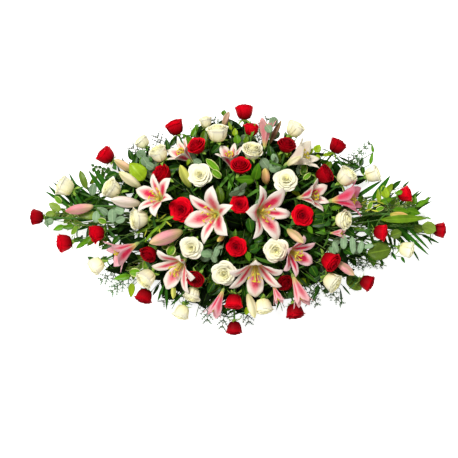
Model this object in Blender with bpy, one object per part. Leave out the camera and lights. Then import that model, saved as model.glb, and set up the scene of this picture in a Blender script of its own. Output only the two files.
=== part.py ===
"""A double-ended casket spray: roses, lilies and greenery standing in wet foam on a plastic tray.

Metres, +Z up, +X along the spray, origin at the middle of the tray's flat base.
The tray holds two foam bricks, taped down. Every stem stands in its own plain hole in the foam,
and the blooms make a low diamond-shaped mound that hides the foam and the tray.
Run with: blender --background --python part.py
"""

import math
import random

import bmesh
import bpy
from mathutils import Matrix, Vector
from mathutils.bvhtree import BVHTree

# Driving dimensions. The spray is a four-foot one, 415 pixels long in the photograph.
PIXEL = 0.0029
CENTRE_PX = (238, 221)
MOUND_HALF = (0.603, 0.331)
MOUND_POWER = 1.35
MOUND_CROWN = 0.262
MOUND_RIM = 0.082

# The tray, the two foam bricks in it and the tape over them.
BRICK = (0.230, 0.106, 0.076)
BRICK_GAP = 0.0005
FOAM_BRICKS = (("foam_brick_left", -1), ("foam_brick_right", 1))
TRAY_WALL = 0.0024
TRAY_HEIGHT = 0.034
TRAY_MARGIN = 0.0012
TRAY_FLARE = 0.006
TAPE_WIDTH = 0.012
TAPE_THICK = 0.0012
TAPE_GAP = 0.0005
TAPE_PLACES = (-0.118, 0.118)
RIM_GAP = 0.0008

# Roots stand in the foam: how deep, how far apart, how far from tape, rim, brick ends and gap, how far
# out the stems fork, and how square to the foam's face a root is at the least (1 is upright to it).
ROOT_RADIUS = 0.0040
ROOT_DEPTH = 0.022
ROOT_CLEAR = 0.0006
ROOT_SPACING = 0.0150
ROOT_OUT = 0.012
ROOT_SQUARE = 0.45
ROOT_FAN = 0.36
ROOT_HEIGHT = 0.45
RIM_MARGIN = 0.010
TAPE_MARGIN = 0.014
END_MARGIN = 0.035
JOIN_MARGIN = 0.008
HOLE_SIDES = 4
HOLE_OUT = 0.020
FORK_STEP = 0.003
FORK_TAPER = 0.13

# The search for a free root: rings and directions tried, and the steps along the foam and upwards.
ROOT_RINGS = 12
ROOT_DIRECTIONS = 12
ROOT_STEPS = (0.012, 0.09)

# Stems and leaves, and the air kept round them.
STEM_RADIUS = 0.0030
STEM_CLEAR = 0.0016
SPRIG_RADIUS = 0.0017
SPRIG_ROOT = 0.0032
BLADE_THICK = 0.0011
BLADE_CLEAR = 0.0012
FLOOR_CLEAR = 0.003
STEP = 0.003
SEED = 11

# A stem's natural bend. Its knee lies back from the head by one share of the whole length, and is drawn
# by another towards a point of the straight way. The other bends that are tried lie off it by these
# distances, all round.
KNEE_BACK = 0.36
KNEE_ALONG = 0.62
KNEE_DRAWN = 0.45
NECK_BACK = 0.020
LOW_BEND = 0.30
STEM_OFFSETS = (0.008, 0.016, 0.026, 0.038, 0.052, 0.068, 0.085)
STEM_DIRECTIONS = 12

# The same for a leafy sprig: shares of its length that it leaves the foam and reaches its tip along,
# then the bends and lifts of the tip that are tried.
SPRIG_RISE = 0.34
SPRIG_END = 0.30
SPRIG_OFFSETS = (0.015, 0.030, 0.050, 0.075)
SPRIG_DIRECTIONS = 8
TIP_LIFTS = (0.0, 0.012, -0.012, 0.026)

# A leaf in the way of something is turned by these degrees, then made shorter.
LEAF_SCALES = (1.0, 0.8, 0.62)
LEAF_TURNS = (0, 14, -14, 26)
LEAF_DROOP = 0.12
LEAF_FOOT = 0.004

# Roses. Columns: photo x, photo y, width in pixels, lean from upright and heading in degrees
# (0 is right and 90 up in the photograph), lift above the mound in millimetres.
RED_ROSES = {
    "red_roses_left_end": [
        (38, 217, 17, 86, 178, 0),
        (66, 243, 19, 84, 190, 0),
        (99, 233, 18, 74, 195, -18),
    ],
    "red_roses_left_top": [(106, 156, 19, 82, 140, 0), (162, 175, 21, 60, 150, -30)],
    "red_roses_top_left": [(176, 128, 19, 82, 112, 0), (197, 147, 19, 55, 120, 16)],
    "red_roses_top": [
        (244, 113, 19, 85, 92, 0),
        (251, 131, 15, 78, 85, 4),
        (240, 167, 20, 44, 95, 16),
    ],
    "red_roses_top_right": [
        (286, 146, 19, 60, 75, 4),
        (322, 176, 19, 66, 30, 0),
        (336, 147, 18, 84, 60, 0),
    ],
    "red_roses_right_end": [(403, 195, 17, 80, 15, 0), (439, 230, 16, 88, -5, 0)],
    "red_roses_right": [(378, 232, 17, 84, -8, 0), (366, 282, 17, 84, -25, 0)],
    "red_roses_crown": [(182, 210, 25, 10, 200, -12), (239, 205, 20, 5, 90, -4)],
    "red_roses_crown_right": [(236, 247, 21, 10, 250, 0), (301, 216, 23, 12, 0, -4)],
    "red_roses_bottom_right": [
        (328, 260, 20, 64, -35, 0),
        (284, 282, 17, 45, -40, -44),
        (294, 310, 19, 80, -80, 0),
    ],
    "red_roses_bottom": [
        (196, 278, 18, 40, 240, 12),
        (234, 300, 18, 76, 268, 4),
        (234, 327, 17, 87, 268, 0),
    ],
    "red_roses_bottom_left": [(150, 254, 18, 60, 235, -6), (145, 295, 18, 80, 250, 0)],
}
WHITE_ROSES = {
    "white_roses_left": [
        (66, 187, 21, 82, 155, 0),
        (114, 190, 20, 66, 150, 0),
        (141, 219, 21, 68, 185, -28),
    ],
    "white_roses_top_left": [(143, 143, 15, 82, 130, 0), (160, 155, 19, 68, 120, 0)],
    "white_roses_top": [
        (206, 123, 14, 80, 100, -6),
        (218, 135, 21, 70, 95, 6),
        (200, 176, 25, 12, 110, 0),
    ],
    "white_roses_top_middle": [(252, 152, 21, 52, 80, -8), (285, 181, 25, 22, 80, 0)],
    "white_roses_top_right": [
        (294, 130, 19, 80, 60, 0),
        (344, 178, 21, 70, 50, 0),
        (371, 175, 18, 80, 20, 0),
    ],
    "white_roses_right": [(342, 220, 20, 60, 0, 0), (405, 249, 18, 82, -15, 0)],
    "white_roses_right_low": [(330, 281, 20, 72, -35, 0), (275, 250, 26, 12, -60, 0)],
    "white_roses_bottom": [(224, 273, 26, 18, 265, 0), (263, 305, 19, 80, 275, -8)],
    "white_roses_bottom_left": [
        (192, 247, 24, 12, 240, -8),
        (193, 293, 17, 70, 255, -10),
        (182, 311, 18, 82, 250, 0),
    ],
    "white_roses_left_low": [(98, 265, 18, 82, 215, 0), (148, 277, 20, 64, 225, 0)],
}
# Lilies. An open or cupped one is placed by its throat and sized by the length of its tepals; a half-open
# one, a flaring one and a bud by their middle and their length. The last column turns it about its axis.
LILIES = {
    "lilies_left": [
        ("open", 158, 197, 24, 39, 148, 10, 42),
        ("bud", 125, 166, 23, 75, 149, 0, 0),
        ("bud", 131, 180, 27, 70, 145, 4, 0),
        ("bud", 127, 202, 31, 70, 172, 0, 0),
    ],
    "lilies_top_left": [
        ("flare", 186, 157, 22, 62, 140, -24, 0),
        ("bud", 186, 177, 27, 62, 114, -10, 0),
    ],
    "lilies_top": [
        ("flare", 231, 162, 22, 60, 102, -40, 0),
        ("bud", 226, 120, 17, 76, 68, 6, 0),
        ("half", 265, 138, 24, 76, 85, -10, 0),
        ("bud", 275, 133, 27, 76, 63, -10, 0),
    ],
    "lilies_crown_left": [
        ("open", 212, 215, 30, 33, 189, 10, 78),
        ("bud", 221, 238, 14, 42, 223, -14, 0),
    ],
    "lilies_crown_right": [
        ("open", 264, 213, 31, 41, 351, 6, 56),
        ("bud", 265, 177, 21, 45, 96, -4, 0),
    ],
    "lilies_right_top": [
        ("flare", 296, 160, 28, 70, 27, -16, 0),
        ("bud", 293, 162, 17, 66, 33, 28, 0),
        ("flare", 307, 197, 25, 56, 8, -20, 0),
    ],
    "lilies_right": [
        ("flare", 341, 200, 28, 76, 6, -14, 0),
        ("bud", 398, 216, 20, 86, -8, 0, 0),
        ("half", 334, 233, 13, 62, 0, -24, 0),
    ],
    "lilies_right_low": [
        ("cup", 293, 253, 25, 50, -30, 0, 330),
        ("bud", 294, 236, 24, 58, -40, 22, 0),
        ("bud", 344, 268, 23, 80, -37, -10, 0),
    ],
    "lilies_bottom": [
        ("cup", 255, 270, 33, 52, 272, -14, 270),
        ("half", 275, 291, 16, 74, -70, -12, 0),
        ("half", 296, 286, 27, 74, -70, 8, 0),
        ("bud", 251, 305, 25, 80, -74, 4, 0),
    ],
    "lilies_bottom_left": [
        ("cup", 179, 266, 30, 52, 225, -6, 240),
        ("bud", 174, 291, 15, 70, 270, 0, 0),
        ("half", 219, 299, 24, 80, 247, 0, 0),
    ],
    "lilies_left_low": [
        ("flare", 128, 249, 27, 78, 208, 0, 0),
        ("bud", 167, 237, 36, 70, 200, 6, 0),
        ("bud", 81, 209, 28, 84, 190, 0, 0),
    ],
}
# Greenery. Columns: photo x and y of the sprig's tip, height of the tip in metres,
# share of the way at which the leaves begin.
GREENS = {
    "palm_left": ("palm", [(75, 212, 0.050, 0.42)]),
    "palm_right": ("palm", [(403, 221, 0.050, 0.40)]),
    "fern_left_low": ("fern", [(99, 281, 0.030, 0.45), (110, 293, 0.032, 0.45)]),
    "fern_bottom_left": ("fern", [(162, 303, 0.034, 0.35), (207, 322, 0.034, 0.35)]),
    "fern_bottom": ("fern", [(222, 329, 0.028, 0.35), (249, 324, 0.030, 0.35)]),
    "fern_bottom_right": ("fern", [(318, 306, 0.034, 0.40), (343, 305, 0.030, 0.40)]),
    "fern_right_low": ("fern", [(365, 268, 0.040, 0.45), (384, 266, 0.034, 0.50)]),
    "fern_top_right": ("fern", [(371, 142, 0.040, 0.45), (360, 159, 0.050, 0.45)]),
    "fern_top": ("fern", [(213, 118, 0.034, 0.35), (268, 117, 0.034, 0.35)]),
    "fern_top_left": ("fern", [(131, 146, 0.036, 0.40), (156, 135, 0.036, 0.40)]),
    "eucalyptus_left": ("eucalyptus", [(100, 215, 0.140, 0.50), (118, 211, 0.180, 0.60)]),
    "eucalyptus_top_left": ("eucalyptus", [(140, 153, 0.150, 0.55), (154, 168, 0.180, 0.60)]),
    "eucalyptus_top": ("eucalyptus", [(236, 133, 0.130, 0.62), (273, 123, 0.120, 0.62)]),
    "eucalyptus_crown": ("eucalyptus", [(239, 190, 0.280, 0.65), (274, 159, 0.205, 0.60)]),
    "eucalyptus_bottom": ("eucalyptus", [(210, 257, 0.245, 0.60), (222, 247, 0.250, 0.65)]),
    "eucalyptus_right": ("eucalyptus", [(370, 246, 0.130, 0.45), (334, 246, 0.170, 0.60)]),
    "leaves_top": ("broad", [(197, 130, 0.130, 0.50), (139, 172, 0.170, 0.60)]),
    "leaves_crown": ("broad", [(320, 218, 0.215, 0.60), (253, 178, 0.250, 0.70)]),
    "leaves_right": ("broad", [(426, 219, 0.085, 0.62), (379, 253, 0.100, 0.55)]),
    "pittosporum_left": ("variegated", [(51, 212, 0.085, 0.70), (62, 226, 0.080, 0.70)]),
    "pittosporum_low": ("variegated", [(171, 250, 0.215, 0.65), (130, 272, 0.120, 0.55)]),
    "pittosporum_right": ("variegated", [(421, 203, 0.075, 0.55), (368, 203, 0.140, 0.55)]),
}
# Materials: colour and roughness.
FINISHES = {
    "tray": ((0.02, 0.09, 0.03), 0.45),
    "foam": ((0.09, 0.22, 0.08), 0.90),
    "tape": ((0.03, 0.16, 0.05), 0.50),
    "red_petal": ((0.55, 0.005, 0.02), 0.55),
    "white_petal": ((0.90, 0.87, 0.68), 0.55),
    "lily_petal": ((0.90, 0.55, 0.58), 0.45),
    "palm_leaf": ((0.03, 0.16, 0.02), 0.45),
    "fern_leaf": ((0.02, 0.11, 0.03), 0.55),
    "eucalyptus_leaf": ((0.27, 0.38, 0.30), 0.68),
    "broad_leaf": ((0.09, 0.24, 0.03), 0.35),
    "variegated_leaf": ((0.33, 0.45, 0.12), 0.42),
}


def place(px, py):
    """The point of the plan under a pixel of the photograph."""
    return Vector(((px - CENTRE_PX[0]) * PIXEL, (CENTRE_PX[1] - py) * PIXEL, 0.0))


def mound_height(point):
    """Height of the mound's surface, which the middles of the blooms follow."""
    shares = [abs(point[k]) / MOUND_HALF[k] for k in (0, 1)]
    reach = sum(share**MOUND_POWER for share in shares) ** (1 / MOUND_POWER)
    return MOUND_RIM + (MOUND_CROWN - MOUND_RIM) * math.sqrt(max(0.0, 1 - reach**2))


def aimed(lean, heading):
    """Unit vector that leans from upright towards a heading, both in degrees."""
    lean, heading = math.radians(lean), math.radians(heading)
    return Vector((math.sin(lean) * math.cos(heading), math.sin(lean) * math.sin(heading), math.cos(lean)))


def frame_at(point, axis, turn=0.0):
    """Matrix of a local frame at point with +Z along axis, turned about it by degrees."""
    side = Vector((0, 0, 1)).cross(axis)
    side = side.normalized() if side.length > 1e-4 else Vector((1, 0, 0))
    turned = Matrix.Rotation(math.radians(turn), 3, axis) @ side
    basis = Matrix((turned, axis.cross(turned), axis)).transposed()
    return Matrix.Translation(point) @ basis.to_4x4()


def circle(count, radius, height, turn=0.0):
    """A ring of points round local Z."""
    angles = [math.tau * (k + turn) / count for k in range(count)]
    return [Vector((radius * math.cos(a), radius * math.sin(a), height)) for a in angles]


def lobed(count, tip, notch, turn=0):
    """A ring whose points lie by turns on petal tips and in the notches between them."""
    ring = []
    for k in range(count):
        radius, height = tip if (k + turn) % 2 == 0 else notch
        ring.append(circle(count, radius, height)[k])
    return ring


def add_ring(mesh, points):
    return [mesh.verts.new(point) for point in points]


def bridge(mesh, a, b):
    """Triangles from ring a to ring b, whatever their lengths. A ring of one vertex is a tip."""
    m, n = len(a), len(b)
    i, j = (0 if m > 1 else 1), (0 if n > 1 else 1)
    while i < m or j < n:
        if i < m and (j >= n or (i + 1) * n <= (j + 1) * m):
            mesh.faces.new((a[i], a[(i + 1) % m], b[j % n]))
            i += 1
        else:
            mesh.faces.new((a[i % m], b[(j + 1) % n], b[j]))
            j += 1


def loft(mesh, rings):
    """Closed skin through the rings of points, the first of them capped."""
    made = [add_ring(mesh, ring) for ring in rings]
    mesh.faces.new(reversed(made[0]))
    for a, b in zip(made, made[1:]):
        bridge(mesh, a, b)
    if len(made[-1]) > 1:
        mesh.faces.new(made[-1])
    return made


def blade(mesh, base, rings, tip):
    """Thin blade grown from the four vertices of base. Both of its faces are split alike."""
    lower = base
    for ring in rings:
        upper = add_ring(mesh, ring)
        for k in range(4):
            a, b, c, d = lower[k], lower[(k + 1) % 4], upper[(k + 1) % 4], upper[k]
            split = ((a, b, c), (a, c, d)) if k < 2 else ((a, b, d), (b, c, d))
            for corners in split:
                mesh.faces.new(corners)
        lower = upper
    end = mesh.verts.new(tip)
    for k in range(4):
        mesh.faces.new((lower[k], lower[(k + 1) % 4], end))


def blade_rings(root, grow, wide, stations, thick=BLADE_THICK):
    """Four-point rings and the tip of a blade. Each station is (share of length, width, droop)."""
    face = wide.cross(grow).normalized()
    rings = []
    for share, width, droop in stations[:-1]:
        middle = root + grow * share + face * droop
        half, deep = wide * (width / 2), face * (thick / 2)
        rings.append([middle - half - deep, middle - half + deep, middle + half + deep, middle + half - deep])
    share, _, droop = stations[-1]
    return rings, root + grow * share + face * droop


def material(name):
    made = bpy.data.materials.get(name)
    if made is None:
        made = bpy.data.materials.new(name)
        made.use_nodes = True
        shader = made.node_tree.nodes["Principled BSDF"]
        colour, roughness = FINISHES[name]
        shader.inputs["Base Color"].default_value = (*colour, 1)
        shader.inputs["Roughness"].default_value = roughness
        shader.inputs["Metallic"].default_value = 0.0
    return made


def object_from(mesh, name, collection, colour=None):
    """A Blender object from a bmesh, which is freed."""
    data = bpy.data.meshes.new(name)
    mesh.to_mesh(data)
    mesh.free()
    made = bpy.data.objects.new(name, data)
    if colour:
        data.materials.append(material(colour))
    collection.objects.link(made)
    return made


def joined(name, bodies, collection, colour, solver="EXACT"):
    """One object from overlapping closed bodies, by a Boolean union that is applied."""
    pieces = bpy.data.collections.new(name + "_pieces")
    bpy.context.scene.collection.children.link(pieces)
    base = object_from(bodies[0], name, collection, colour)
    for number, body in enumerate(bodies[1:]):
        object_from(body, f"{name}_piece_{number}", pieces, colour)
    if len(bodies) > 1:
        union = base.modifiers.new("union", "BOOLEAN")
        union.operation = "UNION"
        union.operand_type = "COLLECTION"
        union.collection = pieces
        union.solver = solver
        bpy.context.view_layer.update()
        graph = bpy.context.evaluated_depsgraph_get()
        whole = bpy.data.meshes.new_from_object(base.evaluated_get(graph))
        base.modifiers.clear()
        base.data = whole
    for piece in list(pieces.objects):
        bpy.data.objects.remove(piece)
    bpy.data.collections.remove(pieces)
    return base


class Space:
    """What already stands in the spray, for finding room for the next stem or leaf."""

    def __init__(self):
        self.trees = {}

    def add_object(self, made):
        points = [made.matrix_world @ v.co for v in made.data.vertices]
        faces = [list(face.vertices) for face in made.data.polygons]
        self.trees[made.name] = [BVHTree.FromPolygons(points, faces)]

    def add_bmesh(self, name, mesh):
        self.trees.setdefault(name, []).append(BVHTree.FromBMesh(mesh))

    def others(self, name):
        return [tree for key, trees in self.trees.items() if key != name for tree in trees]

    def near(self, point, distance, trees):
        return any(tree.find_nearest(point, distance)[0] is not None for tree in trees)

    def way_is_clear(self, path, distance, trees):
        """Whether a path keeps its distance from the trees and the ground."""
        for start, end in zip(path, path[1:]):
            count = max(1, math.ceil((end - start).length / STEP))
            for k in range(count + 1):
                point = start.lerp(end, k / count)
                if point.z < FLOOR_CLEAR + distance or self.near(point, distance, trees):
                    return False
        return True


def rose_rings(width, lean):
    """Rings of a rose head about its own axis, from the hip up: three layers of petals, with a
    groove inside each. A rose that faces up is wide open, and one on the rim is a goblet."""
    if lean < 30:
        belly, outer, groove, middle, hollow, inner, heart = (
            (0.36, -0.20), ((0.50, 0.06), (0.43, -0.03)), (0.35, 0.02),
            ((0.34, 0.20), (0.29, 0.12)), (0.19, 0.10), (0.17, 0.25), 0.16,
        )
    else:
        belly, outer, groove, middle, hollow, inner, heart = (
            (0.47, -0.16), ((0.52, 0.20), (0.45, 0.11)), (0.35, 0.14),
            ((0.34, 0.36), (0.29, 0.28)), (0.18, 0.25), (0.16, 0.40), 0.31,
        )
    rings = [
        circle(5, 0.10, -0.42),
        circle(5, *belly, turn=0.5),
        lobed(10, *outer),
        circle(5, *groove, turn=0.5),
        lobed(10, *middle, turn=1),
        circle(5, *hollow),
        circle(5, *inner, turn=0.5),
        [Vector((0, 0, heart))],
    ]
    return [[point * width for point in ring] for ring in rings]


def bud_rings(length):
    """Rings of a lily bud: three blunt keels that meet in a tip."""
    rings = [
        circle(3, 0.05, -0.50),
        lobed(6, (0.13, -0.28), (0.11, -0.28)),
        lobed(6, (0.17, 0.05), (0.145, 0.05)),
        lobed(6, (0.11, 0.34), (0.09, 0.34)),
        [Vector((0, 0, 0.50))],
    ]
    return [[point * length for point in ring] for ring in rings]


TURN_ZERO = 150
# Tepals: (reach, height) from the throat in shares of the tepal's length, and the width there.
TEPALS = {
    "open": (((0.42, 0.12), 0.46), ((0.72, 0.26), 0.34), ((0.96, 0.24), 0.0)),
    "cup": (((0.38, 0.16), 0.40), ((0.68, 0.34), 0.27), ((0.90, 0.36), 0.0)),
    "flare": (((0.22, 0.28), 0.32), ((0.42, 0.54), 0.28), ((0.62, 0.66), 0.0)),
    "half": (((0.22, 0.30), 0.30), ((0.32, 0.62), 0.22), ((0.38, 0.78), 0.0)),
}


def lily_cup(length, kind):
    """Rings of the cup that the six tepals grow from: neck, rim, throat wall and pistil."""
    if kind in ("open", "cup"):
        neck, rim, wall, pistil = (0.06, -0.42), (0.20, -0.16), (0.14, -0.17), (0.030, -0.30, 0.22)
    else:
        neck, rim, wall, pistil = (0.05, -0.50), (0.13, -0.06), (0.09, -0.05), (0.025, -0.20, 0.42)
    rings = [
        circle(3, *neck),
        circle(6, rim[0] * 0.82, rim[1] - 0.07, turn=0.5),
        circle(6, *rim, turn=0.5),
        circle(6, *wall, turn=0.5),
        circle(6, *pistil[:2], turn=0.5),
        [Vector((0, 0, pistil[2]))],
    ]
    return [[point * length for point in ring] for ring in rings]


def add_tepals(mesh, lower, rim, matrix, length, kind):
    """Grows six tepals from the side faces under the rim, every other one narrow and set back."""
    inverse = matrix.inverted()
    for k in range(6):
        base = [lower[k], lower[(k + 1) % 6], rim[(k + 1) % 6], rim[k]]
        middle = sum((inverse @ v.co for v in base), Vector()) / 4
        outward = Vector((middle.x, middle.y, 0)).normalized()
        across = Vector((0, 0, 1)).cross(outward)
        narrow = k % 2
        rings = []
        stations = TEPALS[kind]
        for (reach, height), width in stations[:1] + stations[2:] if narrow else stations:
            width *= 0.66 if narrow else 1.0
            height -= 0.035 if narrow else 0.0
            point = outward * reach + Vector((0, 0, height))
            if not width:
                tip = matrix @ (point * length)
                break
            slope = (point - middle / length).normalized()
            deep = slope.cross(across).normalized() * (BLADE_THICK / length)
            half = across * (width / 2)
            ring = [point - half - deep, point + half - deep, point + half + deep, point - half + deep]
            rings.append([matrix @ (p * length) for p in ring])
        # The first side of a blade is a wide one, so that both wide faces are split alike.
        blade(mesh, base[1:] + base[:1], [ring[1:] + ring[:1] for ring in rings], tip)


class Bloom:
    """One rose, lily or bud: where its head is, how it faces, and the path of its stem."""

    def __init__(self, kind, px, py, size, lean, heading, lift, turn=0.0):
        self.kind, self.lean, self.size = kind, lean, size * PIXEL
        self.axis = aimed(lean, heading)
        self.middle = place(px, py)
        self.middle.z = mound_height(self.middle) + lift / 1000
        facing = TURN_ZERO + heading if kind in ("open", "cup") else 0.0
        self.matrix = frame_at(self.middle, self.axis, turn - facing)
        self.path = []

    def head_rings(self):
        if self.kind == "rose":
            rings = rose_rings(self.size, self.lean)
        elif self.kind == "bud":
            rings = bud_rings(self.size)
        else:
            rings = lily_cup(self.size, self.kind)
        return [[self.matrix @ point for point in ring] for ring in rings]

    def neck(self):
        """Where the stem meets the head."""
        return sum(self.head_rings()[0], Vector()) / len(self.head_rings()[0])

    def body(self, with_stem=True):
        """Closed bmesh of the head, and of the stem under it."""
        mesh = bmesh.new()
        head = self.head_rings()
        if with_stem:
            rings = stem_rings(self.path, self.matrix.col[0].to_3d(), 3) + head
        else:
            rings = head
        if self.kind in ("rose", "bud"):
            loft(mesh, rings)
            return mesh
        made = [add_ring(mesh, ring) for ring in rings]
        mesh.faces.new(reversed(made[0]))
        rim = len(made) - 4
        for number, (a, b) in enumerate(zip(made, made[1:])):
            if number + 1 == rim:
                add_tepals(mesh, a, b, self.matrix, self.size, self.kind)
            else:
                bridge(mesh, a, b)
        return mesh


def stem_rings(path, side, count):
    """Rings along a path of (point, radius), turned alike by keeping to one side vector."""
    rings = []
    for number, (point, radius) in enumerate(path):
        before = path[max(0, number - 1)][0]
        after = path[min(len(path) - 1, number + 1)][0]
        along = (after - before).normalized()
        first = (side - along * side.dot(along)).normalized()
        second = along.cross(first)
        ring = []
        for k in range(count):
            angle = math.tau * k / count
            ring.append(point + (first * math.cos(angle) + second * math.sin(angle)) * radius)
        rings.append(ring)
    return rings


def foam_exit(target, shift, rise):
    """Where a straight line from the foam's long axis towards target leaves the foam."""
    reach = BRICK[0] + BRICK_GAP
    along = max(END_MARGIN - reach, min(reach - END_MARGIN, target.x * ROOT_FAN + shift))
    start = Vector((along, 0, TRAY_WALL + BRICK[2] * ROOT_HEIGHT))
    towards = (target + Vector((0, 0, rise)) - start).normalized()
    low = Vector((-reach, -BRICK[1] / 2, TRAY_WALL))
    high = Vector((reach, BRICK[1] / 2, TRAY_WALL + BRICK[2]))
    ways_out = []
    for k in range(3):
        if abs(towards[k]) > 1e-6:
            wall = (high if towards[k] > 0 else low)[k]
            ways_out.append(((wall - start[k]) / towards[k], abs(towards[k])))
    distance, square = min(ways_out)
    return start + towards * distance, towards, square


def free_root(target, taken):
    """The free place in the foam nearest to the straight way to target, and the stem's way out."""
    tries = [(0.0, 0.0)]
    for ring in range(1, ROOT_RINGS):
        for k in range(ROOT_DIRECTIONS):
            angle = math.tau * k / ROOT_DIRECTIONS
            tries.append((ROOT_STEPS[0] * ring * math.cos(angle), ROOT_STEPS[1] * ring * math.sin(angle)))
    for shift, rise in tries:
        point, towards, square = foam_exit(target, shift, rise)
        inner = point - towards * ROOT_DEPTH
        if square < ROOT_SQUARE or point.z < TRAY_HEIGHT + RIM_MARGIN:
            continue
        if min(abs(point.x), abs(inner.x)) < JOIN_MARGIN or point.x * inner.x < 0:
            continue
        if min(abs(point.x - x) for x in TAPE_PLACES) < TAPE_MARGIN:
            continue
        if all((point - other).length > ROOT_SPACING for other, _ in taken):
            taken.append((point, towards))
            return point, towards
    raise ValueError("no room left in the foam")


def bent_clear(ways, space, trees, radius):
    """The first of some paths that keeps clear of the trees, or None."""
    for path in ways:
        if space.way_is_clear(path, radius + STEM_CLEAR, trees):
            return path
    return None


def stem_ways(start, neck, axis):
    """Paths from the foam to a head: the natural bend first, then bends further and further off it."""
    span = (neck - start).length
    knee = neck - axis * span * KNEE_BACK
    knee = knee.lerp(start.lerp(neck, KNEE_ALONG), KNEE_DRAWN)
    across = (neck - start).cross(Vector((0, 0, 1))).normalized()
    upward = across.cross(neck - start).normalized()
    yield [start, knee, neck]
    near = neck - axis * min(NECK_BACK, span * 0.2)
    low = start.lerp(neck, LOW_BEND)
    for reach in STEM_OFFSETS:
        for k in range(STEM_DIRECTIONS):
            angle = math.tau * k / STEM_DIRECTIONS
            offset = (across * math.cos(angle) + upward * math.sin(angle)) * reach
            yield [start, knee + offset, neck]
            yield [start, knee + offset, near, neck]
            yield [start, low + offset, knee + offset * 0.5, neck]
            yield [start, low + offset, near, neck]
            yield [start, low + offset, knee - offset * 0.5, neck]


# The tepals of neighbouring lilies lie too close for the exact union, which leaves gaps in the skin.
UNION_OF = {"lily_petal": "MANIFOLD", "red_petal": "EXACT", "white_petal": "EXACT"}


def build_blooms(groups, colour, space, roots, spray):
    """One node for each group of blooms, whose stems meet at the foam and share one root."""
    for name, blooms in groups.items():
        middle = sum((bloom.middle for bloom in blooms), Vector()) / len(blooms)
        point, towards = free_root(middle, roots)
        fork = point + towards * ROOT_OUT
        bodies = []
        for number, bloom in enumerate(blooms):
            neck = bloom.neck()
            own = space.trees[name][: len(blooms)]
            trees = space.others(name) + own[:number] + own[number + 1 :]
            way = bent_clear(stem_ways(fork, neck, bloom.axis), space, trees, STEM_RADIUS)
            if way is None:
                raise ValueError(f"no clear way for a stem of {name}, bloom {number}")
            path = [(p, STEM_RADIUS) for p in way[:-1]]
            path[0] = (fork - towards * FORK_STEP * number, ROOT_RADIUS * (1 - FORK_TAPER * number))
            if number == 0:
                path.insert(0, (point - towards * ROOT_DEPTH, ROOT_RADIUS))
            bloom.path = path
            bodies.append(bloom.body())
        for body in bodies:
            space.add_bmesh(name, body)
        joined(name, bodies, spray, colour, UNION_OF[colour])


# Leaves of each kind of greenery: stations of (share of length, width, droop), in metres of length 1.
LEAF_SHAPES = {
    "palm": ((0.35, 0.085, 0.00), (1.0, 0.0, 0.0)),
    "fern": ((1.0, 0.0, 0.0),),
    "eucalyptus": ((0.28, 0.72, 0.02), (0.72, 0.66, 0.02), (1.0, 0.0, 0.0)),
    "broad": ((0.30, 0.42, 0.03), (0.66, 0.40, 0.03), (1.0, 0.0, 0.0)),
    "variegated": ((0.55, 0.46, 0.03), (1.0, 0.0, 0.0)),
}
# Greenery by kind: gap between leaf pairs, length of a leaf, forward sweep in degrees, sides of stem.
HABITS = {
    "palm": (0.0172, 0.150, 50, 3),
    "fern": (0.0212, 0.056, 48, 3),
    "eucalyptus": (0.0260, 0.040, 42, 4),
    "broad": (0.0335, 0.066, 44, 4),
    "variegated": (0.0230, 0.038, 40, 4),
}
NODE_LENGTH = 0.0045


def sprig_curve(start, towards, tip, bend):
    """Points of a sprig's stem: out of the foam along its hole, then over to its tip."""
    span = (tip - start).length
    across = (tip - start).cross(Vector((0, 0, 1))).normalized()
    first = start + towards * span * SPRIG_RISE + across * bend[0]
    second = tip - (tip - start) * SPRIG_END + across * bend[0] * 0.5
    second.z = max(tip.z, second.z) + bend[1]

    def at(t):
        u = 1 - t
        return start * u**3 + first * 3 * u * u * t + second * 3 * u * t * t + tip * t**3

    return at


def leaf_share(kind, share):
    """How long a leaf is at a share of the leafy stretch, against the longest."""
    if kind == "palm":
        return 0.62 + 0.38 * math.sin(math.pi * min(1.0, 0.25 + 0.7 * share))
    if kind == "fern":
        return 1.0 - 0.78 * share
    return 1.0 - 0.30 * share


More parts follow.
